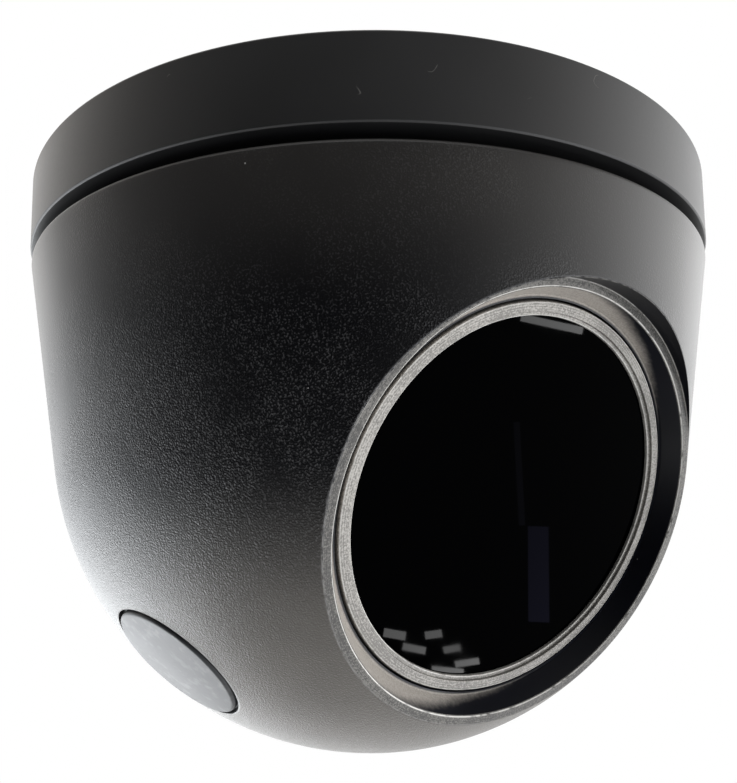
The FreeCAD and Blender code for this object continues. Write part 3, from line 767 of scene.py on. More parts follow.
@dataclass(frozen=True)
class GrainedDome(Finish):
    """Black moulding with a fine eroded grain, a painted glint on the grain's peaks, a pale layer of painted
    light towards the bottom and the top, dust, and a painted highlight along the rims.
    """

    colour: Colour = (0.0012, 0.0013, 0.0022)
    spread: float = 1.4
    grain: Mottle = Mottle(0.21, 0.0)
    grain_depth: float = 0.09
    blotches: Mottle = Mottle(14.0)
    clouds: Mottle = Mottle(38.0, 1.0)
    cloud_share: float = 0.4
    patches: Band = (0.40, 0.54)
    between_patches: float = 0.25
    even_heights: Band = (-44.0, -60.0)
    smooth_heights: Band = (-20.0, -46.0)
    smoothed: float = 0.3
    # Painted glint: the grain's peaks are painted lighter, standing in for small sparkles of light.
    peak_glint: Colour = (0.075, 0.075, 0.078)
    peak_glint_range: Band = (0.56, 0.74)
    peak_glint_cover: float = 0.8
    # Painted light: a pale layer that grows towards the bottom and, more faintly, near the top, standing in
    # for light from below and above; blotches make it uneven.
    painted_light_film: Colour = (0.128, 0.119, 0.108)
    painted_light_heights: Band = (-48.0, -74.0)
    top_painted_light_heights: Band = (-34.0, -14.0)
    top_painted_light: float = 0.17
    painted_light_blotches: Band = (0.7, 1.3)
    # Painted highlight: a light line along the rims of the window's recess and of the plug's recess, standing
    # in for light caught by the rounded rims.
    rim_highlight: Colour = (0.22, 0.215, 0.205)
    rim_highlight_width: Band = (0.16, 0.04)
    highlight_breakup: Mottle = Mottle(0.8, 3.0)
    highlight_breakup_range: Band = (0.34, 0.56)
    dust: Colour = (0.50, 0.49, 0.48)
    dust_specks: Specks = Specks(2.6, 0.15, 0.12)
    dust_cover: float = 0.8
    roughness: float = 0.31
    uneven_roughness: float = 0.06
    tip_polish: float = 0.05
    dust_roughness: float = 0.3
    gloss: float = 0.32
    rim_round: float = 0.30
    window: Axis = UPRIGHT
    window_plane: float = 0.0
    window_radius: float = 0.0
    window_draft: float = 0.0
    plug: Axis = UPRIGHT
    plug_radius: float = 0.0

    def sockets(self, graph: Graph, place: Any) -> dict[str, Any]:
        """Makes the grain in its patches, the painted glint on its peaks, the layer of painted light, the
        dust, and the rounded rims with their painted highlight.

        Args:
            graph: The graph to build in.
            place: The point, in millimetres.

        Returns:
            Values and links for the shader's sockets.
        """
        height = graph.height(place)
        fine = graph.noise(place, self.grain)
        blotch = graph.noise(place, self.blotches)
        wide = graph.noise(place, self.clouds)
        patches = (blotch * (1 - self.cloud_share) + wide * self.cloud_share).rise(*self.patches)
        even = height.rise(*self.even_heights)
        crisp = self.between_patches + patches.at_least(even) * (1 - self.between_patches)
        crisp = crisp * (self.smoothed + height.rise(*self.smooth_heights) * (1 - self.smoothed))
        # Painted glint on the grain's peaks.
        peak_glints = fine.rise(*self.peak_glint_range) * crisp
        # Painted light, lighter towards the bottom and near the top.
        painted_light_film = height.rise(*self.painted_light_heights) + height.rise(*self.top_painted_light_heights) * self.top_painted_light
        thin, thick = self.painted_light_blotches
        painted_light_film = painted_light_film * (thin + blotch * (thick - thin))
        rim = self._rim_distance(graph, place)
        # Painted highlight along the rims, broken up by noise.
        rim_highlight = rim.rise(*self.rim_highlight_width) * graph.noise(place, self.highlight_breakup).rise(*self.highlight_breakup_range)
        dust = graph.specks(place, self.dust_specks)
        tone = graph.colour(wide.rise(*SLOW_CHANGE), self.colour, shade(self.colour, self.spread))
        tone = graph.colour(peak_glints * self.peak_glint_cover, tone, self.peak_glint)
        tone = graph.colour(painted_light_film, tone, self.painted_light_film)
        tone = graph.colour(rim_highlight, tone, self.rim_highlight)
        tone = graph.colour(dust * self.dust_cover, tone, self.dust)
        roughness = self.roughness + wide * self.uneven_roughness + fine * self.uneven_roughness
        roughness = roughness - peak_glints * self.tip_polish + dust * self.dust_roughness
        over = (1.0 - rim / self.rim_round).at_least(0.0)
        rounded = (1.0 - over * over).at_least(0.0).root()
        normal = graph.bump(fine * crisp, self.grain_depth)
        normal = graph.bump(rounded, self.rim_round, normal)
        return {
            "Base Color": tone,
            "Roughness": roughness,
            "Normal": normal,
            "Specular IOR Level": self.gloss,
        }

    def _rim_distance(self, graph: Graph, place: Any) -> Value:
        """Measures the way to the nearest rim, of the window's recess or of the plug's.

        Args:
            graph: The graph to build in.
            place: The point, in millimetres.

        Returns:
            The distance, in millimetres.
        """
        along, away = graph.round_axis(place, self.window)
        slope = math.tan(math.radians(self.window_draft))
        beside = away - self.window_radius - (along - self.window_plane).at_least(0.0) * slope
        beside = beside.at_least(0.0)
        below = (self.window_plane - along).at_least(0.0)
        window = (beside * beside + below * below).root()
        _, away = graph.round_axis(place, self.plug)
        return graph.maths("MINIMUM", window, (away - self.plug_radius).size())


@dataclass(frozen=True)
class SatinMoulding(Finish):
    """Smooth satin black moulding, with faint flow marks, dust and a few fibres."""

    colour: Colour = (0.0060, 0.0060, 0.0064)
    spread: float = 1.6
    flow: Mottle = Mottle(22.0)
    fine: Mottle = Mottle(0.5)
    dust: Colour = (0.34, 0.33, 0.31)
    dust_specks: Specks = Specks(3.4, 0.13, 0.14)
    fibre_paths: Mottle = Mottle(6.0)
    fibre_width: Band = (0.004, 0.001)
    fibre_places: Mottle = Mottle(3.7, 0.0)
    fibre_ends: Band = (0.77, 0.81)
    fibre_cover: float = 0.5
    mark_cover: float = 0.6
    roughness: float = 0.40
    flow_roughness: float = 0.08
    fine_roughness: float = 0.04
    mark_roughness: float = 0.3
    depth: float = 0.004

    def sockets(self, graph: Graph, place: Any) -> dict[str, Any]:
        """Makes the flow marks, a slight unevenness, the dust and the fibres.

        Args:
            graph: The graph to build in.
            place: The point, in millimetres.

        Returns:
            Values and links for the shader's sockets.
        """
        flow = graph.noise(place, self.flow)
        fine = graph.noise(place, self.fine)
        dust = graph.specks(place, self.dust_specks)
        line = (graph.noise(place, self.fibre_paths) - HALF).size().rise(*self.fibre_width)
        fibre = line * graph.noise(place, self.fibre_places).rise(*self.fibre_ends)
        marks = graph.maths("MAXIMUM", dust, fibre * self.fibre_cover)
        tone = graph.colour(flow.rise(*SLOW_CHANGE), self.colour, shade(self.colour, self.spread))
        tone = graph.colour(marks * self.mark_cover, tone, self.dust)
        roughness = self.roughness + flow * self.flow_roughness + fine * self.fine_roughness
        roughness = roughness + marks * self.mark_roughness
        return {"Base Color": tone, "Roughness": roughness, "Normal": graph.bump(fine + flow, self.depth)}


@dataclass(frozen=True)
class TurnedMetal(Finish):
    """Dark metal with fine turned lines round an axis, a dull grain, and a painted highlight along given
    edges.

    Each edge is a radius about the axis and the strength of its painted highlight.
    """

    colour: Colour = (0.17, 0.163, 0.152)
    light: Colour = (0.39, 0.375, 0.35)
    light_range: Band = (0.43, 0.60)
    line_pitch: float = 0.16
    line_share: float = 0.25
    line_height: float = 0.5
    grain: Mottle = Mottle(0.26, 2.0, 0.7)
    grain_share: float = 0.5
    stain: Mottle = Mottle(7.0, 3.0)
    stain_share: float = 0.25
    # Painted highlight: the light colour painted along the edges.
    painted_edge_highlight: Colour = (0.72, 0.71, 0.68)
    highlight_breakup: Mottle = Mottle(1.4, 3.0)
    highlight_breakup_range: Band = (0.25, 0.50)
    edges: tuple[tuple[float, float], ...] = ()
    edge_width: float = 0.10
    edge_middle: float = 0.3
    roughness: float = 0.52
    stain_roughness: float = 0.12
    line_polish: float = 0.08
    metallic: float = 0.4
    depth: float = 0.012
    axis: Axis = UPRIGHT

    def sockets(self, graph: Graph, place: Any) -> dict[str, Any]:
        """Makes lines by the distance from the axis, a grain over them, and the painted highlights along the
        edges.

        Args:
            graph: The graph to build in.
            place: The point, in millimetres.

        Returns:
            Values and links for the shader's sockets.
        """
        _, away = graph.round_axis(place, self.axis)
        lines = graph.turned_lines(away, self.line_pitch)
        grain = graph.noise(place, self.grain)
        stain = graph.noise(place, self.stain)
        light = lines * self.line_share + grain * self.grain_share + stain * self.stain_share
        tone = graph.colour(light.rise(*self.light_range), self.colour, self.light)
        highlight_breakup_mask = graph.noise(place, self.highlight_breakup).rise(*self.highlight_breakup_range)
        # Painted highlight: a thin light line along each edge, broken up by noise, standing in for light
        # caught by the edge.
        for edge, strength in self.edges:
            near = (away - edge).size().rise(self.edge_width, self.edge_middle * self.edge_width)
            tone = graph.colour(near * highlight_breakup_mask * strength, tone, self.painted_edge_highlight)
        roughness = self.roughness + stain * self.stain_roughness - lines * self.line_polish
        return {
            "Base Color": tone,
            "Roughness": roughness,
            "Metallic": self.metallic,
            "Normal": graph.bump(lines * self.line_height + grain, self.depth),
        }


@dataclass(frozen=True)
class BoreWall(Finish):
    """Blue-black wall of the window's recess, with dust caught in it, and painted light on one side, which is
    lighter, beige and rougher.

    The side with painted light is given as the direction that it lies in from the axis. Its border slants
    from the mouth inwards.
    """

    colour: Colour = (0.0015, 0.0020, 0.0050)
    spread: float = 1.5
    fine: Mottle = Mottle(0.6, 3.0)
    grain: Mottle = Mottle(0.26, 2.0, 0.7)
    wide: Mottle = Mottle(9.0)
    axis: Axis = UPRIGHT
    # Painted light: the lighter beige colour of the side where the light falls.
    painted_lit_side: Colour = (0.40, 0.37, 0.335)
    painted_lit_direction: Vector = Vector((1, 0, 0))
    painted_lit_speckle: Band = (0.45, 1.35)
    reach: float = 29.0
    mouth: float = 29.6
    slant: float = 0.54
    border: Band = (0.06, 0.52)
    border_fine: float = 0.16
    border_wide: float = 0.25
    painted_lit_from: Band = (28.0, 28.25)
    painted_lit_to: Band = (30.2, 29.9)
    dust: Colour = (0.30, 0.30, 0.30)
    dust_specks: Specks = Specks(1.7, 0.11, 0.12)
    dust_cover: float = 0.6
    roughness: float = 0.26
    wide_roughness: float = 0.10
    fine_roughness: float = 0.05
    dust_roughness: float = 0.3
    painted_lit_roughness: float = 0.25
    depth: float = 0.008
    gloss: float = 0.2

    def sockets(self, graph: Graph, place: Any) -> dict[str, Any]:
        """Makes a soft unevenness, the dust, and the painted light on one side with its slanting border.

        Args:
            graph: The graph to build in.
            place: The point, in millimetres.

        Returns:
            Values and links for the shader's sockets.
        """
        fine = graph.noise(place, self.fine)
        grain = graph.noise(place, self.grain)
        wide = graph.noise(place, self.wide)
        dust = graph.specks(place, self.dust_specks)
        tone = graph.colour(wide.rise(*SLOW_CHANGE), self.colour, shade(self.colour, self.spread))
        # Painted light: one side of the wall is painted lighter and beige, standing in for light falling on
        # it.
        offset = graph.vector("SUBTRACT", {0: place, 1: self.axis.origin})
        side = graph.measure("DOT_PRODUCT", {0: offset, 1: self.painted_lit_direction}) / self.reach
        _, away = graph.round_axis(place, self.axis)
        deep = (self.mouth - away) * self.slant
        painted_lit_side = side + deep + (fine - HALF) * self.border_fine + (wide - HALF) * self.border_wide
        painted_lit_side = painted_lit_side.rise(*self.border) * away.rise(*self.painted_lit_from) * away.rise(*self.painted_lit_to)
        thin, thick = self.painted_lit_speckle
        tone = graph.colour(painted_lit_side * (thin + grain * (thick - thin)), tone, self.painted_lit_side)
        tone = graph.colour(dust * self.dust_cover, tone, self.dust)
        roughness = self.roughness + wide * self.wide_roughness + fine * self.fine_roughness
        roughness = roughness + dust * self.dust_roughness + painted_lit_side * self.painted_lit_roughness
        return {
            "Base Color": tone,
            "Roughness": roughness,
            "Normal": graph.bump(fine, self.depth),
            "Specular IOR Level": self.gloss,
        }


@dataclass(frozen=True)
class PolishedWindow(Finish):
    """Polished black window with an anti-glare coat, faint wipe marks and a little dust."""

    colour: Colour = (0.0001, 0.0001, 0.0002)
    dust: Colour = (0.02, 0.02, 0.02)
    dust_specks: Specks = Specks(4.5, 0.05, 0.08)
    wipe: Mottle = Mottle(11.0, 3.0)
    wipe_range: Band = (0.45, 0.8)
    roughness: float = 0.018
    wipe_roughness: float = 0.03
    dust_roughness: float = 0.4
    gloss: float = 0.003

    def sockets(self, graph: Graph, place: Any) -> dict[str, Any]:
        """Makes wipe marks in the polish, and dust.

        Args:
            graph: The graph to build in.
            place: The point, in millimetres.

        Returns:
            Values and links for the shader's sockets.
        """
        wipe = graph.noise(place, self.wipe)
        dust = graph.specks(place, self.dust_specks)
        tone = graph.colour(dust, self.colour, self.dust)
        roughness = self.roughness + wipe.rise(*self.wipe_range) * self.wipe_roughness
        roughness = roughness + dust * self.dust_roughness
        return {"Base Color": tone, "Roughness": roughness, "Specular IOR Level": self.gloss}


@dataclass(frozen=True)
class PlainMoulding(Finish):
    """Moulded plastic as it comes from the tool, with smudges where it is handled."""

    colour: Colour = (0.03, 0.03, 0.032)
    spread: float = 1.35
    grain: Mottle = Mottle(0.5)
    flow: Mottle = Mottle(9.0)
    smudge: Colour = (0.16, 0.16, 0.16)
    smudges: float = 0.0
    smudge_marks: Mottle = Mottle(2.4, 4.0, 0.6)
    smudge_range: Band = (0.50, 0.68)
    smudge_polish: float = 0.10
    spots: Specks = Specks(1.8, 0.16, 0.18)
    spot_cover: float = 0.6
    roughness: float = 0.48
    flow_roughness: float = 0.1
    grain_roughness: float = 0.05
    depth: float = 0.010

    def sockets(self, graph: Graph, place: Any) -> dict[str, Any]:
        """Makes a fine grain, slow changes of tone, and the smudges.

        Args:
            graph: The graph to build in.
            place: The point, in millimetres.

        Returns:
            Values and links for the shader's sockets.
        """
        fine = graph.noise(place, self.grain)
        flow = graph.noise(place, self.flow)
        tone = graph.colour(flow.rise(*SLOW_CHANGE), self.colour, shade(self.colour, self.spread))
        roughness = self.roughness + flow * self.flow_roughness + fine * self.grain_roughness
        if self.smudges:
            smudge = graph.noise(place, self.smudge_marks).rise(*self.smudge_range) * self.smudges
            cover = smudge + graph.specks(place, self.spots) * self.spot_cover
            tone = graph.colour(cover, tone, self.smudge)
            roughness = roughness - smudge * self.smudge_polish
        return {"Base Color": tone, "Roughness": roughness, "Normal": graph.bump(fine, self.depth)}


@dataclass(frozen=True)
class Rubber(Finish):
    """Matt rubber or closed-cell foam, dusted and slightly uneven."""

    colour: Colour = (0.022, 0.022, 0.022)
    dusty: Colour = (0.07, 0.07, 0.068)
    pores: Mottle = Mottle(0.35, 3.0, 0.65)
    bloom: Mottle = Mottle(5.0, 3.0)
    bloom_range: Band = (0.4, 0.75)
    bloom_cover: float = 0.6
    roughness: float = 0.72
    bloom_roughness: float = 0.2
    depth: float = 0.02

    def sockets(self, graph: Graph, place: Any) -> dict[str, Any]:
        """Makes pores, and a dusty bloom.

        Args:
            graph: The graph to build in.
            place: The point, in millimetres.

        Returns:
            Values and links for the shader's sockets.
        """
        pores = graph.noise(place, self.pores)
        bloom = graph.noise(place, self.bloom)
        tone = graph.colour(bloom.rise(*self.bloom_range) * self.bloom_cover, self.colour, self.dusty)
        roughness = self.roughness + bloom * self.bloom_roughness
        return {"Base Color": tone, "Roughness": roughness, "Normal": graph.bump(pores, self.depth)}


@dataclass(frozen=True)
class BareMetal(Finish):
    """Plated, drawn or machined metal with a satin grain, faint scratches and dull patches."""

    colour: Colour = (0.45, 0.45, 0.46)
    dull: Colour = (0.28, 0.28, 0.28)
    patches: Mottle = Mottle(6.0, 3.0)
    patch_range: Band = (0.35, 0.75)
    grain: Mottle = Mottle(0.6, 3.0)
    stretch: Triple = (1.0, 6.0, 1.0)
    scratch_paths: Mottle = Mottle(4.0, 3.0)
    scratch_width: Band = (0.006, 0.001)
    scratch_places: Mottle = Mottle(2.5, 1.0)
    scratch_ends: Band = (0.55, 0.65)
    roughness: float = 0.30
    patch_roughness: float = 0.14
    grain_roughness: float = 0.08
    scratch_polish: float = 0.1
    depth: float = 0.006

    def sockets(self, graph: Graph, place: Any) -> dict[str, Any]:
        """Makes a brushed grain, scratches and patches.

        Args:
            graph: The graph to build in.
            place: The point, in millimetres.

        Returns:
            Values and links for the shader's sockets.
        """
        brushed = graph.vector("MULTIPLY", {0: place, 1: self.stretch})
        grain = graph.noise(brushed, self.grain)
        patch = graph.noise(place, self.patches)
        scratch = (graph.noise(place, self.scratch_paths) - HALF).size().rise(*self.scratch_width)
        scratch = scratch * graph.noise(place, self.scratch_places).rise(*self.scratch_ends)
        tone = graph.colour(patch.rise(*self.patch_range), self.colour, self.dull)
        roughness = self.roughness + patch * self.patch_roughness + grain * self.grain_roughness
        roughness = roughness - scratch * self.scratch_polish
        relief = graph.bump(grain - scratch, self.depth)
        return {"Base Color": tone, "Roughness": roughness, "Metallic": 1.0, "Normal": relief}


@dataclass(frozen=True)
class CircuitBoard(Finish):
    """Solder mask over copper tracks, with small tinned pads."""

    mask: Colour = (0.012, 0.11, 0.045)
    mask_shade: float = 0.7
    mask_cover: float = 0.4
    fine: Mottle = Mottle(0.9)
    track: Colour = (0.02, 0.17, 0.07)
    track_cells: float = 3.74
    track_disorder: float = 0.55
    track_width: Band = (0.10, 0.07)
    track_height: float = 0.6
    pad: Colour = (0.55, 0.53, 0.48)
    pads: Specks = Specks(1.7, 0.55, 0.22)
    pad_edge: Band = (0.4, 0.6)
    pad_metallic: float = 0.9
    roughness: float = 0.32
    fine_roughness: float = 0.08
    pad_polish: float = 0.06
    depth: float = 0.03

    def sockets(self, graph: Graph, place: Any) -> dict[str, Any]:
        """Makes tracks between uneven cells, and pads in some of them.

        Args:
            graph: The graph to build in.
            place: The point, in millimetres.

        Returns:
            Values and links for the shader's sockets.
        """
        cells = {"Vector": place, "Scale": 1 / self.track_cells, "Randomness": self.track_disorder}
        settings = {"feature": "DISTANCE_TO_EDGE", "distance": "EUCLIDEAN"}
        edge = graph.number("ShaderNodeTexVoronoi", settings, cells)
        track = edge.rise(*self.track_width)
        pad = graph.specks(place, self.pads).rise(*self.pad_edge)
        fine = graph.noise(place, self.fine)
        tone = graph.colour(fine * self.mask_cover, self.mask, shade(self.mask, self.mask_shade))
        tone = graph.colour(track, tone, self.track)
        tone = graph.colour(pad, tone, self.pad)
        roughness = self.roughness + fine * self.fine_roughness - pad * self.pad_polish
        relief = graph.bump(track * self.track_height + pad, self.depth)
        metallic = pad * self.pad_metallic
        return {"Base Color": tone, "Roughness": roughness, "Metallic": metallic, "Normal": relief}


@dataclass(frozen=True)
class CoatedGlass(Finish):
    """Lens glass, sensor glass or clear lamp resin, tinted by its coating, with faint dust."""

    colour: Colour = (0.05, 0.03, 0.09)
    tint: Colour = (0.02, 0.06, 0.09)
    drift: Mottle = Mottle(6.0, 1.0)
    dust_specks: Specks = Specks(1.6, 0.05, 0.1)
    roughness: float = 0.03
    drift_roughness: float = 0.03
    dust_roughness: float = 0.4
    coat: float = 0.8

    def sockets(self, graph: Graph, place: Any) -> dict[str, Any]:
        """Makes a tint that drifts over the coating, and dust.

        Args:
            graph: The graph to build in.
            place: The point, in millimetres.

        Returns:
            Values and links for the shader's sockets.
        """
        drift = graph.noise(place, self.drift)
        dust = graph.specks(place, self.dust_specks)
        tone = graph.colour(drift.rise(*SLOW_CHANGE), self.colour, self.tint)
        roughness = self.roughness + drift * self.drift_roughness + dust * self.dust_roughness
        return {"Base Color": tone, "Roughness": roughness, "Coat Weight": self.coat}


# What the part is made of


WINDOW_TILT = math.radians(22.5)
PLUG_SIDE = math.radians(-76)
PLUG_DROP = math.radians(44)
BALL_DEPTH = 36.5
TAPER = math.radians(10.53)
TO_TOUCH = math.degrees(TAPER) - 90
BALL_CENTRE = Vector((0, 0, -BALL_DEPTH))
WINDOW = Axis(BALL_CENTRE, Vector((0, -math.cos(WINDOW_TILT), -math.sin(WINDOW_TILT))))
PLUG = Axis(
    BALL_CENTRE,
    Vector(
        (
            math.sin(PLUG_SIDE) * math.cos(PLUG_DROP),
            -math.cos(PLUG_SIDE) * math.cos(PLUG_DROP),
            -math.sin(PLUG_DROP),
        )
    ),
)
LIP_PLANE = 45.0
COUNTERBORE_RADIUS = 30.845
COUNTERBORE_DRAFT = 2.0
PLUG_RECESS_RADIUS = 10.55
PLUG_FLOOR = 52.569

RING_SATIN = SatinMoulding("ring_satin")
DOME_GRAIN = GrainedDome(
    "dome_grain",
    window=WINDOW,
    window_plane=LIP_PLANE,
    window_radius=COUNTERBORE_RADIUS,
    window_draft=COUNTERBORE_DRAFT,
    plug=PLUG,
    plug_radius=PLUG_RECESS_RADIUS,
)
# The lip's edges carry painted highlights.
LIP_METAL = TurnedMetal(
    "lip_edge_highlights",
    colour=(0.05, 0.048, 0.045),
    light=(0.18, 0.172, 0.158),
    metallic=0.1,
    edges=((29.66, 1.0), (30.80, 0.35)),
    axis=WINDOW,
)
# The recess wall's painted light lies on the side given here.
RECESS_WALL = BoreWall("recess_wall", axis=WINDOW, painted_lit_direction=Vector((-0.927, -0.143, 0.346)))
# The bezel's edges carry painted highlights.
BEZEL_METAL = TurnedMetal("bezel_anodised", edges=((25.66, 0.5), (27.35, 0.8)), axis=WINDOW)
WINDOW_BLACK = PolishedWindow("window_polished")
PLUG_SATIN = PlainMoulding(
    "plug_satin", colour=(0.018, 0.019, 0.022), smudges=0.22, roughness=0.44, depth=0.008
)
INNER_BLACK = PlainMoulding("inner_black")
GLIDE_WHITE = PlainMoulding("glide_white", colour=(0.56, 0.55, 0.52), roughness=0.4)
SEAL_RUBBER = Rubber("seal_matt")
GASKET_FOAM = Rubber("gasket_foam", colour=(0.03, 0.03, 0.03), pores=Mottle(0.5, 3.0, 0.65), depth=0.12)
SHEET_STEEL = BareMetal("sheet_zinc", colour=(0.6, 0.6, 0.58), dull=(0.4, 0.4, 0.39))
SCREW_STEEL = BareMetal("screw_plated", grain=Mottle(0.25, 3.0))
BLACK_SCREW = BareMetal(
    "screw_blackened", colour=(0.07, 0.07, 0.075), dull=(0.035, 0.035, 0.036), roughness=0.38
)
POST_BRASS = BareMetal(
    "brass_turned", colour=(0.72, 0.55, 0.28), dull=(0.45, 0.32, 0.15), grain=Mottle(0.3, 3.0)
)
BOARD_GREEN = CircuitBoard("board_green_mask")
BOARD_BLACK = CircuitBoard("board_black_mask", mask=(0.012, 0.012, 0.013), track=(0.022, 0.022, 0.024))
CHIP_BLACK = PlainMoulding("chip_moulded", colour=(0.022, 0.022, 0.023), roughness=0.6, grain=Mottle(0.2))
MODULE_METAL = BareMetal("module_black", colour=(0.05, 0.05, 0.055), dull=(0.03, 0.03, 0.032), roughness=0.42)
SINK_METAL = BareMetal("sink_aluminium", colour=(0.55, 0.56, 0.58), dull=(0.36, 0.37, 0.38))
LENS_GLASS = CoatedGlass("lens_coated")
SENSOR_GLASS = CoatedGlass("sensor_cover", colour=(0.03, 0.05, 0.045), tint=(0.06, 0.05, 0.07))
LAMP_CLEAR = CoatedGlass("lamp_resin", colour=(0.42, 0.42, 0.36), tint=(0.5, 0.48, 0.4), roughness=0.08)


class Surface(Enum):
    """The moulded surfaces of the dome, in the order of their material numbers."""

    GRAIN = 0
    LIP = 1
    RECESS = 2
    INSIDE = 3


def dress(finishes: Mapping[str, Finish]) -> None:
    """Gives carried-over nodes their finish.

    Args:
        finishes: The finish of each node, by the node's name.
    """
    for name, finish in finishes.items():
        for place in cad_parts[name].material_slots:
            place.material = finish.material()
        LOG.info("%s gets the finish %s", name, finish.name)


def spaced(count: int, first: float = 0.0) -> list[float]:
    """Angles in degrees, evenly spaced round a circle."""
    return [first + FULL_TURN * index / count for index in range(count)]


def on_circle(radius: float, degrees: float) -> Axis:
    """An upright axis on a circle about the part's own."""
    angle = math.radians(degrees)
    return Axis(Vector((radius * math.cos(angle), radius * math.sin(angle), 0)), Vector((0, 0, 1)))


@dataclass(frozen=True)
class Bayonet:
    """The tabs and lugs that hold the ring on its plate."""

    count: int = 3
    first: float = 90.0
    width: float = 24.0

    def sectors(self, inner: float, outer: float, low: float, high: float) -> list[Solid]:
        """Builds one sector for each tab or lug.

        Args:
            inner: The sectors' inner radius.
            outer: Their outer radius.
            low: Their lower height.
            high: Their upper height.

        Returns:
            The sectors.
        """
        middles = spaced(self.count, self.first)
        return [Solid(block(inner, outer, low, high).sweep(middle, self.width)) for middle in middles]


@dataclass(frozen=True)
class BaseRing:
    """The smooth moulded ring and its grub screw."""

    top_radius: float = 60.6
    radius: float = 60.0
    height: float = 11.5
    chamfer: float = 0.2
    flange_bore: float = 50.0
    flange_top: float = -8.5
    inner: float = 57.0
    inner_round: float = 0.3
    top_round: float = 0.4
    chamfer_round: float = 0.15
    flange_round: float = 0.2
    lug_radius: float = 54.8
    lug_reach: Band = (-3.45, -1.05)
    screw_height: float = -4.5
    screw_radius: float = 1.5
    screw_gap: float = 0.03
    screw_edge: float = 0.15
    screw_ends: Band = (56.65, 59.6)
    bayonet: Bayonet = field(default_factory=Bayonet)

    def build(self) -> None:
        """Makes the ring and the screw."""
        low = -self.height
        body = Outline(
            Corner(self.inner, 0, self.inner_round),
            Corner(self.top_radius, 0, self.top_round),
            Corner(self.radius, low + self.chamfer, self.chamfer_round),
            Corner(self.radius - self.chamfer, low, self.chamfer_round),
            Corner(self.flange_bore, low, self.flange_round),
            Corner(self.flange_bore, self.flange_top, self.flange_round),
            Corner(self.inner, self.flange_top),
        )
        across = Axis(Vector((0, 0, self.screw_height)), Vector((0, 1, 0)))
        lugs = self.bayonet.sectors(self.lug_radius, self.inner + OVERLAP, *self.lug_reach)
        hole = bar(self.screw_radius + self.screw_gap, self.inner - SPARE, self.top_radius + SPARE)
        ring = Solid(body.turn()).work(Combine.JOIN, *lugs).work(Combine.CUT, Solid(hole, across))
        ring.finish("moulded_ring", Body.BASE, Slot.RING_PLASTIC, [RING_SATIN], ["base_ring"])
        inner_end, outer_end = self.screw_ends
        socket_floor = outer_end - self.screw_radius
        socket = Solid(bar(self.screw_radius / 2, socket_floor, outer_end + SPARE, steps=HEXAGON), across)
        screw = Solid(bar(self.screw_radius, inner_end, outer_end, self.screw_edge, SCREW_STEPS), across)
        screw.work(Combine.CUT, socket)
        screw.finish("grub_screw", Body.BASE, Slot.SCREW_STEEL, [BLACK_SCREW], ["lock_screw"])


@dataclass(frozen=True)
class Grommet:
    """The rubber grommet in the plate's middle, as the sizes of its section."""

    bore: float = 3.3
    flange: float = 12.2
    flange_depth: float = 0.8
    waist: float = 10.95
    waist_low: float = -2.5
    nose: float = 4.8
    nose_low: float = -7.3
    flange_round: float = 0.2
    edge_round: float = 0.25
    nose_round: float = 0.4

    def build(self) -> None:
        """Makes the grommet."""
        section = Outline(
            Corner(self.bore, 0, self.edge_round),
            Corner(self.flange, 0, self.flange_round),
            Corner(self.flange, -self.flange_depth),
            Corner(self.waist, -self.flange_depth),
            Corner(self.waist, self.waist_low),
            Corner(self.flange, self.waist_low),
            Corner(self.flange, self.waist_low - self.flange_depth, self.edge_round),
            Corner(self.nose, self.nose_low, self.nose_round),
            Corner(self.bore, self.nose_low, self.edge_round),
        )
        moulded = Solid(section.turn(SMALL_STEPS))
        moulded.finish("rubber_grommet", Body.BASE, Slot.SEAL_RUBBER, [SEAL_RUBBER], ["cable_grommet"])


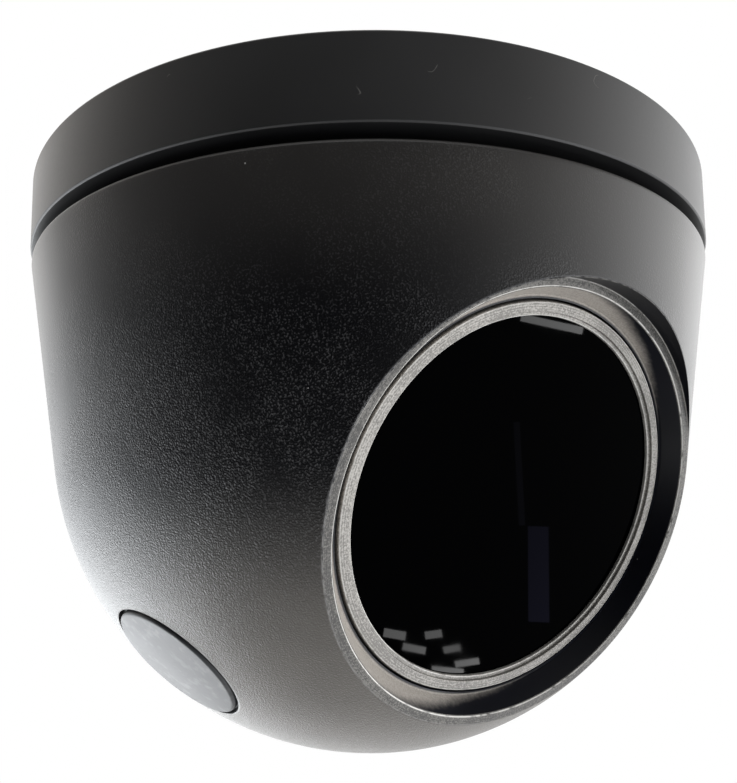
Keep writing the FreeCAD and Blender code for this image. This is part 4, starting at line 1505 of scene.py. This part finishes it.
@dataclass(frozen=True)
class CeilingPlate:
    """The plate on the ceiling, its foam gasket and its cable grommet."""

    outer: float = 54.4
    outer_round: float = 0.3
    skirt_inner: float = 53.0
    skirt_low: float = -5.5
    skirt_round: float = 0.2
    thickness: float = 2.5
    foam: Band = (46.5, 51.3)
    foam_depth: float = 1.0
    foam_round: float = 0.2
    foam_gap: float = 0.3
    rib_count: int = 6
    rib_ends: Band = (14.0, 47.6)
    rib_half: float = 0.8
    rib_depth: float = 2.0
    peg_place: float = 43.65
    peg_radius: float = 1.6
    peg_depth: float = 5.0
    peg_edge: float = 0.2
    tab_radius: float = 56.6
    tab_height: float = 2.0
    hole_count: int = 3
    hole_first: float = 30.0
    hole_pitch: float = 38.0
    hole_radius: float = 2.3
    sink_radius: float = 4.4
    slot_first: float = 90.0
    slot_radius: float = 2.1
    slot_width: float = 22.0
    entry_radius: float = 11.0
    rebate_radius: float = 12.5
    grommet: Grommet = field(default_factory=Grommet)
    bayonet: Bayonet = field(default_factory=Bayonet)

    def build(self) -> None:
        """Makes the plate, the gasket and the grommet."""
        plate = self._plate()
        plate.finish("ceiling_plate", Body.BASE, Slot.INNER_PLASTIC, [INNER_BLACK], ["mounting_plate"])
        inner, outer = self.foam
        section = Outline(
            Corner(inner, 0, self.foam_round),
            Corner(outer, 0, self.foam_round),
            Corner(outer, -self.foam_depth),
            Corner(inner, -self.foam_depth),
        )
        foam = Solid(section.turn())
        foam.finish("foam_gasket", Body.BASE, Slot.SEAL_RUBBER, [GASKET_FOAM], ["ceiling_gasket"])
        self.grommet.build()

    def _plate(self) -> Solid:
        """Makes the plate, with its skirt, tabs, ribs and peg, and all that is cut in it.

        Returns:
            The plate.
        """
        low = -self.thickness
        body = Outline(
            Corner(0, 0),
            Corner(self.outer, 0, self.outer_round),
            Corner(self.outer, self.skirt_low, self.skirt_round),
            Corner(self.skirt_inner, self.skirt_low, self.skirt_round),
            Corner(self.skirt_inner, low),
            Corner(0, low),
            closed=False,
        )
        peg = bar(self.peg_radius, low - self.peg_depth, low + OVERLAP, self.peg_edge)
        peg_axis = Axis(Vector((0, self.peg_place, 0)), Vector((0, 0, 1)))
        tab_top = self.skirt_low + self.tab_height
        tabs = self.bayonet.sectors(self.outer - SPARE, self.tab_radius, self.skirt_low, tab_top)
        ribs = [Solid(self._rib(), turn=angle) for angle in spaced(self.rib_count)]
        plate = Solid(body.turn()).work(Combine.JOIN, Solid(peg, peg_axis), *tabs, *ribs)
        inner, outer = self.foam
        seat = block(inner - self.foam_gap, outer + self.foam_gap, -self.foam_depth, SPARE).turn()
        entry = bar(self.entry_radius, low - SPARE, SPARE)
        rebate = bar(self.rebate_radius, -self.grommet.flange_depth, SPARE)
        plate.work(Combine.CUT, Solid(seat), Solid(entry), Solid(rebate))
        for angle in spaced(self.hole_count, self.hole_first):
            plate.work(Combine.CUT, Solid(self._screw_hole(), on_circle(self.hole_pitch, angle)))
        for angle in spaced(self.hole_count, self.slot_first):
            plate.work(Combine.CUT, *self._slot(angle))
        return plate

    def _rib(self) -> bmesh.types.BMesh:
        """Makes a rib under the plate, along +X.

        Returns:
            The rib's mesh.
        """
        low = -self.thickness
        start, end = self.rib_ends
        return box((start, -self.rib_half, low - self.rib_depth), (end, self.rib_half, low + OVERLAP))

    def _screw_hole(self) -> bmesh.types.BMesh:
        """Makes a hole with its sink at the plate's underside.

        Returns:
            The hole's mesh.
        """
        low = -self.thickness
        shape = Outline(
            Corner(0, SPARE),
            Corner(self.hole_radius, SPARE),
            Corner(self.hole_radius, low + self.sink_radius - self.hole_radius),
            Corner(self.sink_radius, low),
            Corner(self.sink_radius, low - SPARE),
            Corner(0, low - SPARE),
            closed=False,
        )
        return shape.turn(SMALL_STEPS)

    def _slot(self, middle: float) -> list[Solid]:
        """Makes a curved slot, as a sector and two round ends.

        Args:
            middle: The angle of the slot's middle, in degrees.

        Returns:
            The three solids.
        """
        low = -self.thickness - SPARE
        inner, outer = self.hole_pitch - self.slot_radius, self.hole_pitch + self.slot_radius
        ends = [on_circle(self.hole_pitch, middle + side * self.slot_width / 2) for side in (-1, 1)]
        round_ends = [Solid(bar(self.slot_radius, low, SPARE, steps=SCREW_STEPS), end) for end in ends]
        return [Solid(block(inner, outer, low, SPARE).sweep(middle, self.slot_width)), *round_ends]


@dataclass(frozen=True)
class WindowBore:
    """What is cut away on the window's axis, from the gasket's shelf out past the lip."""

    low: float = 35.0
    shelf_radius: float = 24.67
    seat: float = 38.4
    seat_radius: float = 27.87
    flare_low: float = 42.0
    flare_radius: float = 28.37
    flare_high: float = 44.75
    mouth_radius: float = 29.5
    lip_radius: float = 29.75
    outside: float = 70.0
    counterbore_round: float = 0.12

    def recess(self) -> Solid:
        """Makes the shelf, the seat and the flared recess.

        Returns:
            The solid to cut away.
        """
        profile = (
            (0, self.low),
            (self.shelf_radius, self.low),
            (self.shelf_radius, self.seat),
            (self.seat_radius, self.seat),
            (self.seat_radius, self.flare_low),
            (self.flare_radius, self.flare_low),
            (self.mouth_radius, self.flare_high),
            (self.lip_radius, LIP_PLANE),
            (self.lip_radius, self.outside),
            (0, self.outside),
        )
        return Solid(Outline(*(Corner(*point) for point in profile), closed=False).turn(), WINDOW)

    def counterbore(self) -> Solid:
        """Makes the drafted counterbore outside the lip's plane.

        Returns:
            The solid to cut away.
        """
        spread = (self.outside - LIP_PLANE) * math.tan(math.radians(COUNTERBORE_DRAFT))
        shape = Outline(
            Corner(0, LIP_PLANE),
            Corner(COUNTERBORE_RADIUS, LIP_PLANE, self.counterbore_round),
            Corner(COUNTERBORE_RADIUS + spread, self.outside),
            Corner(0, self.outside),
            closed=False,
        )
        return Solid(shape.turn(), WINDOW)


@dataclass(frozen=True)
class DomeShell:
    """The dome's moulding: tapered wall, ball, shoulder, neck, window collar, lip and plug boss.

    The steps are those of the ball and of the cone. What has surface in its name tells the surfaces apart.
    """

    ball: float = 54.5
    wall: float = 2.6
    outer_steps: tuple[int, int] = (96, 30)
    inner_steps: tuple[int, int] = (48, 12)
    core_steps: tuple[int, int] = (72, 24)
    rim_radius: float = 59.8
    rim_height: float = -13.0
    rim_round: float = 1.0
    neck_outer: float = 49.95
    neck_inner: float = 45.45
    neck_top: float = -7.8
    neck_round: float = 0.2
    shoulder: float = -15.6
    seal_groove: Band = (52.85, 54.75)
    groove_floor: float = -13.6
    collar_radius: float = 30.47
    collar_low: float = 36.0
    boss_radius: float = 12.95
    boss_reach: Band = (48.169, 52.469)
    stem_bore: float = 7.9
    stem_low: float = 47.1
    outside: float = 60.0
    pillar_angles: tuple[float, ...] = (0.0, 90.0, 180.0)
    pillar_circle: float = 40.0
    pillar_radius: float = 3.0
    pillar_top: float = -20.2
    rib_half: float = 0.8
    rib_drop: float = 6.0
    pan_screws: int = 6
    pan_screw_circle: float = 47.7
    pilot_radius: float = 1.28
    pillar_pilot: Band = (-28.2, -19.2)
    pan_pilot: Band = (-11.3, -6.8)
    surface_slope: float = 0.1
    surface_room: float = 0.1
    surface_lip: Band = (44.7, 45.13)
    surface_split: float = -46.3
    surface_depth: float = 0.7
    surface_level: float = 0.5
    bore: WindowBore = field(default_factory=WindowBore)

    def _touch(self, radius: float) -> tuple[float, float]:
        """Where the cone leaves a ball of this radius."""
        return radius * math.cos(TAPER), -BALL_DEPTH - radius * math.sin(TAPER)

    def _cone_radius(self, ball: float, height: float) -> float:
        """The cone's radius at a height."""
        touch_radius, touch_height = self._touch(ball)
        return touch_radius + (height - touch_height) * math.tan(TAPER)

    def _skin(self, ball: float, top: float) -> bmesh.types.BMesh:
        """Makes the solid inside a ball and its cone, cut level at the top.

        Args:
            ball: The ball's radius.
            top: The height of the cut.

        Returns:
            The solid's mesh.
        """
        ball_steps, cone_steps = self.core_steps
        return Outline(
            Corner(0, -BALL_DEPTH - ball),
            Bend(-BALL_DEPTH, TO_TOUCH, ball_steps),
            Corner(self._cone_radius(ball, top), top, steps=cone_steps),
            Corner(0, top),
            closed=False,
        ).turn()

    def _shell(self) -> bmesh.types.BMesh:
        """Makes the wall from pole to rim, over the shoulder and the neck, and back inside.

        Returns:
            The wall's mesh.
        """
        inner_ball = self.ball - self.wall
        groove_inner, groove_outer = self.seal_groove
        outer_ball_steps, outer_cone_steps = self.outer_steps
        inner_ball_steps, inner_cone_steps = self.inner_steps
        return Outline(
            Corner(0, -BALL_DEPTH - self.ball),
            Bend(-BALL_DEPTH, TO_TOUCH, outer_ball_steps),
            Corner(self.rim_radius, self.rim_height, self.rim_round, steps=outer_cone_steps),
            Corner(groove_outer, self.rim_height),
            Corner(groove_outer, self.groove_floor),
            Corner(groove_inner, self.groove_floor),
            Corner(groove_inner, self.rim_height),
            Corner(self.neck_outer, self.rim_height),
            Corner(self.neck_outer, self.neck_top, self.neck_round),
            Corner(self.neck_inner, self.neck_top, self.neck_round),
            Corner(self.neck_inner, self.shoulder),
            Corner(self._cone_radius(inner_ball, self.shoulder), self.shoulder),
            Corner(*self._touch(inner_ball), steps=inner_cone_steps),
            Bend(-BALL_DEPTH, -TO_TOUCH, inner_ball_steps),
            closed=False,
        ).turn()

    def _inside(self) -> Solid:
        """Makes the collar, the wall round the lip, the plug's boss and the pillars, kept within the wall.

        Returns:
            What is joined to the wall.
        """
        core = Solid(self._skin(self.ball - self.wall / 2, self.rim_height - self.wall / 2))
        collar = Solid(bar(self.collar_radius, self.collar_low, LIP_PLANE, steps=FINE_STEPS), WINDOW)
        lip_radius = COUNTERBORE_RADIUS + self.wall
        lip_wall = bar(lip_radius, LIP_PLANE - self.wall, self.bore.outside, steps=FINE_STEPS)
        boss = Solid(bar(self.boss_radius, *self.boss_reach), PLUG)
        collar.work(Combine.JOIN, Solid(lip_wall, WINDOW), boss)
        lowest = -BALL_DEPTH - self.ball
        near = (self.pillar_circle, -self.rib_half, lowest)
        far = (self.outside, self.rib_half, self.pillar_top - self.rib_drop)
        for angle in self.pillar_angles:
            pillar = bar(self.pillar_radius, lowest, self.pillar_top, steps=SCREW_STEPS)
            place = on_circle(self.pillar_circle, angle)
            collar.work(Combine.JOIN, Solid(pillar, place), Solid(box(near, far), turn=angle))
        return collar.work(Combine.KEEP_COMMON, core)

    def _pilot(self, reach: Band, circle: float, degrees: float) -> Solid:
        """The pilot hole of an upright screw."""
        return Solid(bar(self.pilot_radius, *reach, steps=TINY_STEPS), on_circle(circle, degrees))

    def build(self) -> None:
        """Makes the moulding and marks its surfaces."""
        shell = Solid(self._shell()).work(Combine.JOIN, self._inside())
        head = Solid(bar(PLUG_RECESS_RADIUS, PLUG_FLOOR, self.outside, steps=PLUG_STEPS), PLUG)
        stem = Solid(bar(self.stem_bore, self.stem_low, self.outside), PLUG)
        shell.work(Combine.CUT, self.bore.recess(), self.bore.counterbore(), head, stem)
        for angle in self.pillar_angles:
            shell.work(Combine.CUT, self._pilot(self.pillar_pilot, self.pillar_circle, angle))
        for angle in spaced(self.pan_screws):
            shell.work(Combine.CUT, self._pilot(self.pan_pilot, self.pan_screw_circle, angle))
        finishes = [DOME_GRAIN, LIP_METAL, RECESS_WALL, INNER_BLACK]
        made = shell.finish("dome_moulding", Body.DOME, Slot.DOME_PLASTIC, finishes, ["dome_shell"])
        for face in made.data.polygons:
            face.material_index = self._surface(face.center / METRES, face.normal).value

    def _surface(self, centre: Vector, normal: Vector) -> Surface:
        """Which moulded surface a face belongs to.

        Args:
            centre: The face's centre in millimetres.
            normal: Its direction.

        Returns:
            The surface.
        """
        offset = centre - WINDOW.origin
        along = offset.dot(WINDOW.direction)
        sideways = offset - WINDOW.direction * along
        faces_axis = normal.dot(sideways.normalized()) < self.surface_slope
        past_seat = along > self.bore.seat - self.surface_room
        if faces_axis and past_seat and sideways.length < COUNTERBORE_RADIUS + SPARE:
            lip_low, lip_high = self.surface_lip
            return Surface.LIP if lip_low <= along < lip_high else Surface.RECESS
        nearly_ball = self.ball - self.surface_depth
        if centre.z > self.surface_split:
            on_skin = math.hypot(centre.x, centre.y) > self._cone_radius(nearly_ball, centre.z)
        else:
            on_skin = offset.length > nearly_ball
        outwards = offset.dot(normal) > 0 or abs(normal.z) < self.surface_level
        return Surface.GRAIN if on_skin and outwards else Surface.INSIDE


@dataclass(frozen=True)
class Bezel:
    """The turned ring over the window's edge, as the sizes of its section on the window's axis."""

    opening: float = 25.6
    opening_round: float = 0.16
    step: float = 41.85
    step_radius: float = 26.1
    step_round: float = 0.08
    top: float = 42.3
    top_radius: float = 27.5
    top_inner_round: float = 0.14
    top_outer_round: float = 0.3
    outer: float = 27.75
    outer_top: float = 41.0
    foot: float = 38.4
    foot_round: float = 0.15
    cover_radius: float = 27.1

    def build(self, face: float) -> None:
        """Makes the ring.

        Args:
            face: The height of the window's face, on which the ring lies.
        """
        section = Outline(
            Corner(self.opening, face),
            Corner(self.opening, self.step, self.opening_round),
            Corner(self.step_radius, self.step, self.step_round),
            Corner(self.step_radius, self.top, self.top_inner_round),
            Corner(self.top_radius, self.top, self.top_outer_round),
            Corner(self.outer, self.outer_top),
            Corner(self.outer, self.foot, self.foot_round),
            Corner(self.cover_radius, self.foot),
            Corner(self.cover_radius, face),
        )
        made = Solid(section.turn(), WINDOW)
        made.finish("turned_bezel", Body.DOME, Slot.BEZEL_METAL, [BEZEL_METAL], ["window_bezel"])


@dataclass(frozen=True)
class WindowGroup:
    """The black window, the turned bezel over its edge and the gasket behind it."""

    radius: float = 27.0
    back: float = 39.0
    face: float = 41.4
    edge: float = 0.15
    bezel: Bezel = field(default_factory=Bezel)

    def build(self) -> None:
        """Makes the disc and the bezel, and dresses the gasket."""
        disc = Solid(bar(self.radius, self.back, self.face, self.edge, FINE_STEPS), WINDOW)
        disc.finish("black_window", Body.DOME, Slot.WINDOW_BLACK, [WINDOW_BLACK], ["window"])
        self.bezel.build(self.face)
        dress({"window_gasket": SEAL_RUBBER})


@dataclass(frozen=True)
class ServicePlug:
    """The round plug low on the dome's side, and its seal. Its heights lie along the plug's own axis."""

    radius: float = 10.05
    top: float = 54.2
    crown: float = 0.4
    crown_margin: float = 0.5
    crown_steps: int = 12
    edge_round: float = 0.42
    floor_round: float = 0.1
    stem: float = 7.8
    groove: Band = (50.219, 51.519)
    groove_radius: float = 6.6
    stem_low: float = 49.169
    stem_round: float = 0.3
    hollow_radius: float = 4.9
    hollow_top: float = 52.519

    def build(self) -> None:
        """Makes the plug, with a slightly domed face, and dresses the seal."""
        ball = (self.radius**2 + self.crown**2) / (2 * self.crown)
        across = math.degrees(math.asin((self.radius - self.crown_margin) / ball))
        groove_low, groove_high = self.groove
        outline = Outline(
            Corner(0, self.top),
            Bend(self.top - ball, across, self.crown_steps),
            Corner(self.radius, self.top - self.crown, self.edge_round),
            Corner(self.radius, PLUG_FLOOR, self.floor_round),
            Corner(self.stem, PLUG_FLOOR),
            Corner(self.stem, groove_high),
            Corner(self.groove_radius, groove_high),
            Corner(self.groove_radius, groove_low),
            Corner(self.stem, groove_low),
            Corner(self.stem, self.stem_low, self.stem_round),
            Corner(self.hollow_radius, self.stem_low),
            Corner(self.hollow_radius, self.hollow_top),
            Corner(0, self.hollow_top),
            closed=False,
        )
        made = Solid(outline.turn(PLUG_STEPS), PLUG)
        made.finish("round_plug", Body.DOME, Slot.DOME_PLASTIC, [PLUG_SATIN], ["service_plug"])
        dress({"plug_seal": SEAL_RUBBER})


@dataclass(frozen=True)
class PanBearing:
    """What the dome hangs and turns on."""

    def build(self) -> None:
        """Dresses the rings, the screws and the seal."""
        dress({"pan_ring": INNER_BLACK, "pan_ring_screws": SCREW_STEEL})
        dress({"glide_ring": GLIDE_WHITE, "pan_seal": SEAL_RUBBER})


@dataclass(frozen=True)
class Electronics:
    """The folded chassis with the main board on its posts."""

    def build(self) -> None:
        """Dresses the sheet, the board and what stands on it."""
        dress({"chassis": SHEET_STEEL, "chassis_screws": SCREW_STEEL, "main_board": BOARD_GREEN})
        dress({"board_posts": POST_BRASS, "board_screws": SCREW_STEEL, "board_parts": CHIP_BLACK})
        dress({"friction_washers": GLIDE_WHITE})


@dataclass(frozen=True)
class LensModule:
    """The lens and its lamps in their can, and the cradle that tilts them."""

    def build(self) -> None:
        """Dresses the cradle, the can and all that it holds."""
        dress({"tilt_cradle": INNER_BLACK, "pivot_screws": SCREW_STEEL})
        dress({"module_housing": MODULE_METAL, "roll_clip": SHEET_STEEL, "heat_sink": SINK_METAL})
        dress({"heat_sink_screws": SCREW_STEEL, "sensor_board": BOARD_GREEN})
        dress({"sensor_board_screws": SCREW_STEEL, "image_sensor": SENSOR_GLASS})
        dress({"lens_holder": INNER_BLACK, "lens_barrel": MODULE_METAL})
        dress({"front_lens": LENS_GLASS, "lens_baffle": SEAL_RUBBER, "led_board": BOARD_BLACK})
        dress({"led_board_screws": SCREW_STEEL, "infrared_leds": LAMP_CLEAR})


# The studio


# Where the camera stands round the part, in degrees.
CAMERA_AZIMUTH = -31.147

# Slight tints of the room's light.
COOL = (0.955, 1.0, 1.045)
WARM = (1.06, 1.0, 0.94)

# The power of a square metre of lamp panel with a brightness of 1.
PANEL_POWER = 4.0


def facing_frame(right: Vector, up: Vector, back: Vector) -> Matrix:
    """The turn that gives an object these three axes."""
    return Matrix((right, up, back)).transposed().to_4x4()


@dataclass(frozen=True)
class Glow:
    """A soft patch of light in the room: its direction, strength, narrowness and tint."""

    azimuth: float
    elevation: float
    strength: float
    narrowness: float = 8.0
    tint: Colour = WHITE

    def direction(self) -> Triple:
        """Finds the patch's middle, where azimuth 0 is towards the camera and 90 to its right.

        Returns:
            A vector of length 1.
        """
        turn = math.radians(self.azimuth + CAMERA_AZIMUTH)
        rise = math.radians(self.elevation)
        return (math.sin(turn) * math.cos(rise), -math.cos(turn) * math.cos(rise), math.sin(rise))

    def colour(self) -> Colour:
        """The patch's light at its middle."""
        return tuple(self.strength * part for part in self.tint)


@dataclass(frozen=True)
class Panel:
    """A flat lamp panel: its middle, the lengths of its sides as vectors, and its brightness."""

    middle: Triple
    along: Triple
    across: Triple
    brightness: float
    tint: Colour = WHITE

    def hang(self, name: str, target: Vector) -> None:
        """Hangs the panel so that it shines towards a point.

        Args:
            name: The lamp's name.
            target: The point.
        """
        middle = Vector(self.middle)
        first = Vector(self.along).normalized()
        back = first.cross(Vector(self.across)).normalized()
        if back.dot(target - middle) > 0:
            back = -back
        data = bpy.data.lights.new(name, "AREA")
        data.shape = "RECTANGLE"
        data.size = Vector(self.along).length * METRES
        data.size_y = Vector(self.across).length * METRES
        data.energy = self.brightness * PANEL_POWER * data.size * data.size_y
        data.color = self.tint
        lamp = add_object(name, data)
        lamp.matrix_world = Matrix.Translation(middle * METRES) @ facing_frame(first, back.cross(first), back)
        lamp.visible_camera = False


@dataclass(frozen=True)
class Studio:
    """Camera, floor, room light and lamps.

    The shift is a share of the picture's longer side, the clip is in metres, and the backdrop's cone is
    in degrees from the middle of the view.
    """

    eye: Triple = (-66.63, -110.24, -56.55)
    target: Triple = (0.0, 0.0, -27.7)
    roll: float = -0.663
    lens: float = 31.663
    sensor_width: float = 36.0
    shift: Band = (-0.00176, -0.01525)
    clip: Band = (0.01, 20.0)
    floor_height: float = -1000.0
    floor_radius: float = 1000.0
    floor_share: float = 0.6
    floor_paint: Colour = (0.8, 0.8, 0.8)
    base_glow: float = 0.006
    backdrop_cone: Band = (68.0, 52.0)
    glows: tuple[Glow, ...] = (
        Glow(-120, -60, 5.0),
        Glow(-120, -30, 5.0, tint=COOL),
        Glow(-120, 40, 1.7, tint=WARM),
        Glow(0, -85, 5.0),
        Glow(0, 85, 2.2),
        Glow(60, -30, 2.6, 12.0, COOL),
        Glow(60, 5, 0.55, tint=WARM),
        Glow(90, 5, 2.4),
        Glow(120, 5, 1.9),
    )
    panels: tuple[Panel, ...] = (
        Panel((253, -278, -411), (15.9, 8.1, 3.3), (-1.1, 4.4, -4.9), 150),
        Panel((281, -267, -401), (12.2, 3.6, 5.8), (0.6, 4.5, -3.8), 125),
        Panel((267, -265, -414), (16.4, 8.8, 3.5), (-1.1, 3.6, -4.1), 150),
        Panel((294, -254, -404), (12.2, 3.3, 6.2), (0.6, 4.0, -3.3), 108),
        Panel((304, -242, -407), (17.0, 5.1, 8.5), (0.8, 3.9, -2.9), 150),
        Panel((290, -243, -417), (22.5, 10.8, 6.8), (-1.1, 4.0, -4.4), 165),
        Panel((348, -381, -162), (42.4, 28.3, 10.2), (-0.2, 2.1, -5.8), 180),
        Panel((341, -325, -277), (8.9, 53.4, -67.6), (4.4, 2.5, 1.7), 2.6, (0.9, 0.9, 1.3)),
        Panel((356, -267, -335), (-0.3, 50.1, -58.1), (14.1, 7.4, 6.1), 5.3, (0.8, 0.8, 1.5)),
    )

    def build(self) -> None:
        """Sets the camera, the room, the floor and the lamps."""
        self._camera()
        self._room()
        self._floor()
        for number, panel in enumerate(self.panels):
            panel.hang(f"lamp_panel_{number}", BALL_CENTRE)
        bpy.context.scene.view_settings.view_transform = "Standard"

    def _camera(self) -> None:
        """Places the camera at the photograph's viewing angle."""
        data = bpy.data.cameras.new("camera")
        camera = add_object("camera", data)
        eye, target = Vector(self.eye) * METRES, Vector(self.target) * METRES
        back = (eye - target).normalized()
        right = Vector((0, 0, 1)).cross(back).normalized()
        place = Matrix.Translation(eye) @ facing_frame(right, back.cross(right), back)
        camera.matrix_world = place @ Matrix.Rotation(math.radians(self.roll), 4, "Z")
        data.sensor_width = self.sensor_width
        data.lens = self.lens
        data.shift_x, data.shift_y = self.shift
        data.clip_start, data.clip_end = self.clip
        bpy.context.scene.camera = camera

    def _room(self) -> None:
        """White behind the object for the camera, and soft light of uneven strength for the rest."""
        world = bpy.data.worlds.new("room")
        bpy.context.scene.world = world
        world.use_nodes = True
        graph = Graph(world.node_tree)
        direction = graph.node("ShaderNodeTexCoord").outputs["Generated"]
        light: Any = shade(WHITE, self.base_glow)
        for glow in self.glows:
            facing = graph.measure("DOT_PRODUCT", {0: direction, 1: glow.direction()})
            share = graph.maths("EXPONENT", (facing - 1.0) * glow.narrowness)
            patch = graph.vector("SCALE", {0: glow.colour(), "Scale": share})
            light = graph.vector("ADD", {0: light, 1: patch})
        seen, mirrored, through = self._rays(graph)
        backdrop = (Vector(self.target) - Vector(self.eye)).normalized()
        facing = graph.measure("DOT_PRODUCT", {0: direction, 1: backdrop})
        edge, full = (math.cos(math.radians(angle)) for angle in self.backdrop_cone)
        white = facing.rise(edge, full) * (mirrored + through)
        behind = graph.vector("SCALE", {0: WHITE, "Scale": white})
        light = graph.vector("ADD", {0: light, 1: behind})
        background = graph.node("ShaderNodeBackground", {}, {"Color": graph.colour(seen, light, WHITE)})
        graph.node("ShaderNodeOutputWorld", {}, {"Surface": background.outputs[0]})

    def _rays(self, graph: Graph) -> tuple[Value, Value, Value]:
        """Tells where the ray that meets a surface comes from.

        Args:
            graph: The graph to build in.

        Returns:
            1 or 0 for a ray from the camera, from a gloss, and through something clear.
        """
        path = graph.node("ShaderNodeLightPath")
        names = ("Is Camera Ray", "Is Glossy Ray", "Is Transmission Ray")
        return tuple(Value(graph, path.outputs[name]) for name in names)

    def _floor(self) -> None:
        """A pale round floor that keeps the object's shadow."""
        mesh = bmesh.new()
        middle = Matrix.Translation((0, 0, self.floor_height * METRES))
        radius = self.floor_radius * METRES
        bmesh.ops.create_circle(mesh, cap_ends=True, segments=SMALL_STEPS, radius=radius, matrix=middle)
        floor = add_mesh("floor", mesh)
        made = bpy.data.materials.new("floor_pale")
        made.use_nodes = True
        graph = Graph(made.node_tree)
        seen, mirrored, through = self._rays(graph)
        share = seen * self.floor_share + mirrored + through
        paint = graph.node("ShaderNodeBsdfDiffuse", {}, {"Color": _with_alpha(self.floor_paint)})
        glow = graph.node("ShaderNodeEmission", {}, {"Color": _with_alpha(WHITE), "Strength": 1.0})
        mixed = graph.node("ShaderNodeMixShader", {}, {0: share, 1: paint.outputs[0], 2: glow.outputs[0]})
        graph.node("ShaderNodeOutputMaterial", {}, {"Surface": mixed.outputs[0]})
        floor.data.materials.append(made)


def main() -> None:
    """Builds every sub-assembly and the studio, in order."""
    logging.basicConfig(level=logging.INFO, format="%(name)s: %(message)s")
    for assembly in (BaseRing(), CeilingPlate(), DomeShell(), WindowGroup(), ServicePlug()):
        assembly.build()
    for assembly in (PanBearing(), Electronics(), LensModule(), Studio()):
        assembly.build()


if __name__ == "__main__":
    main()
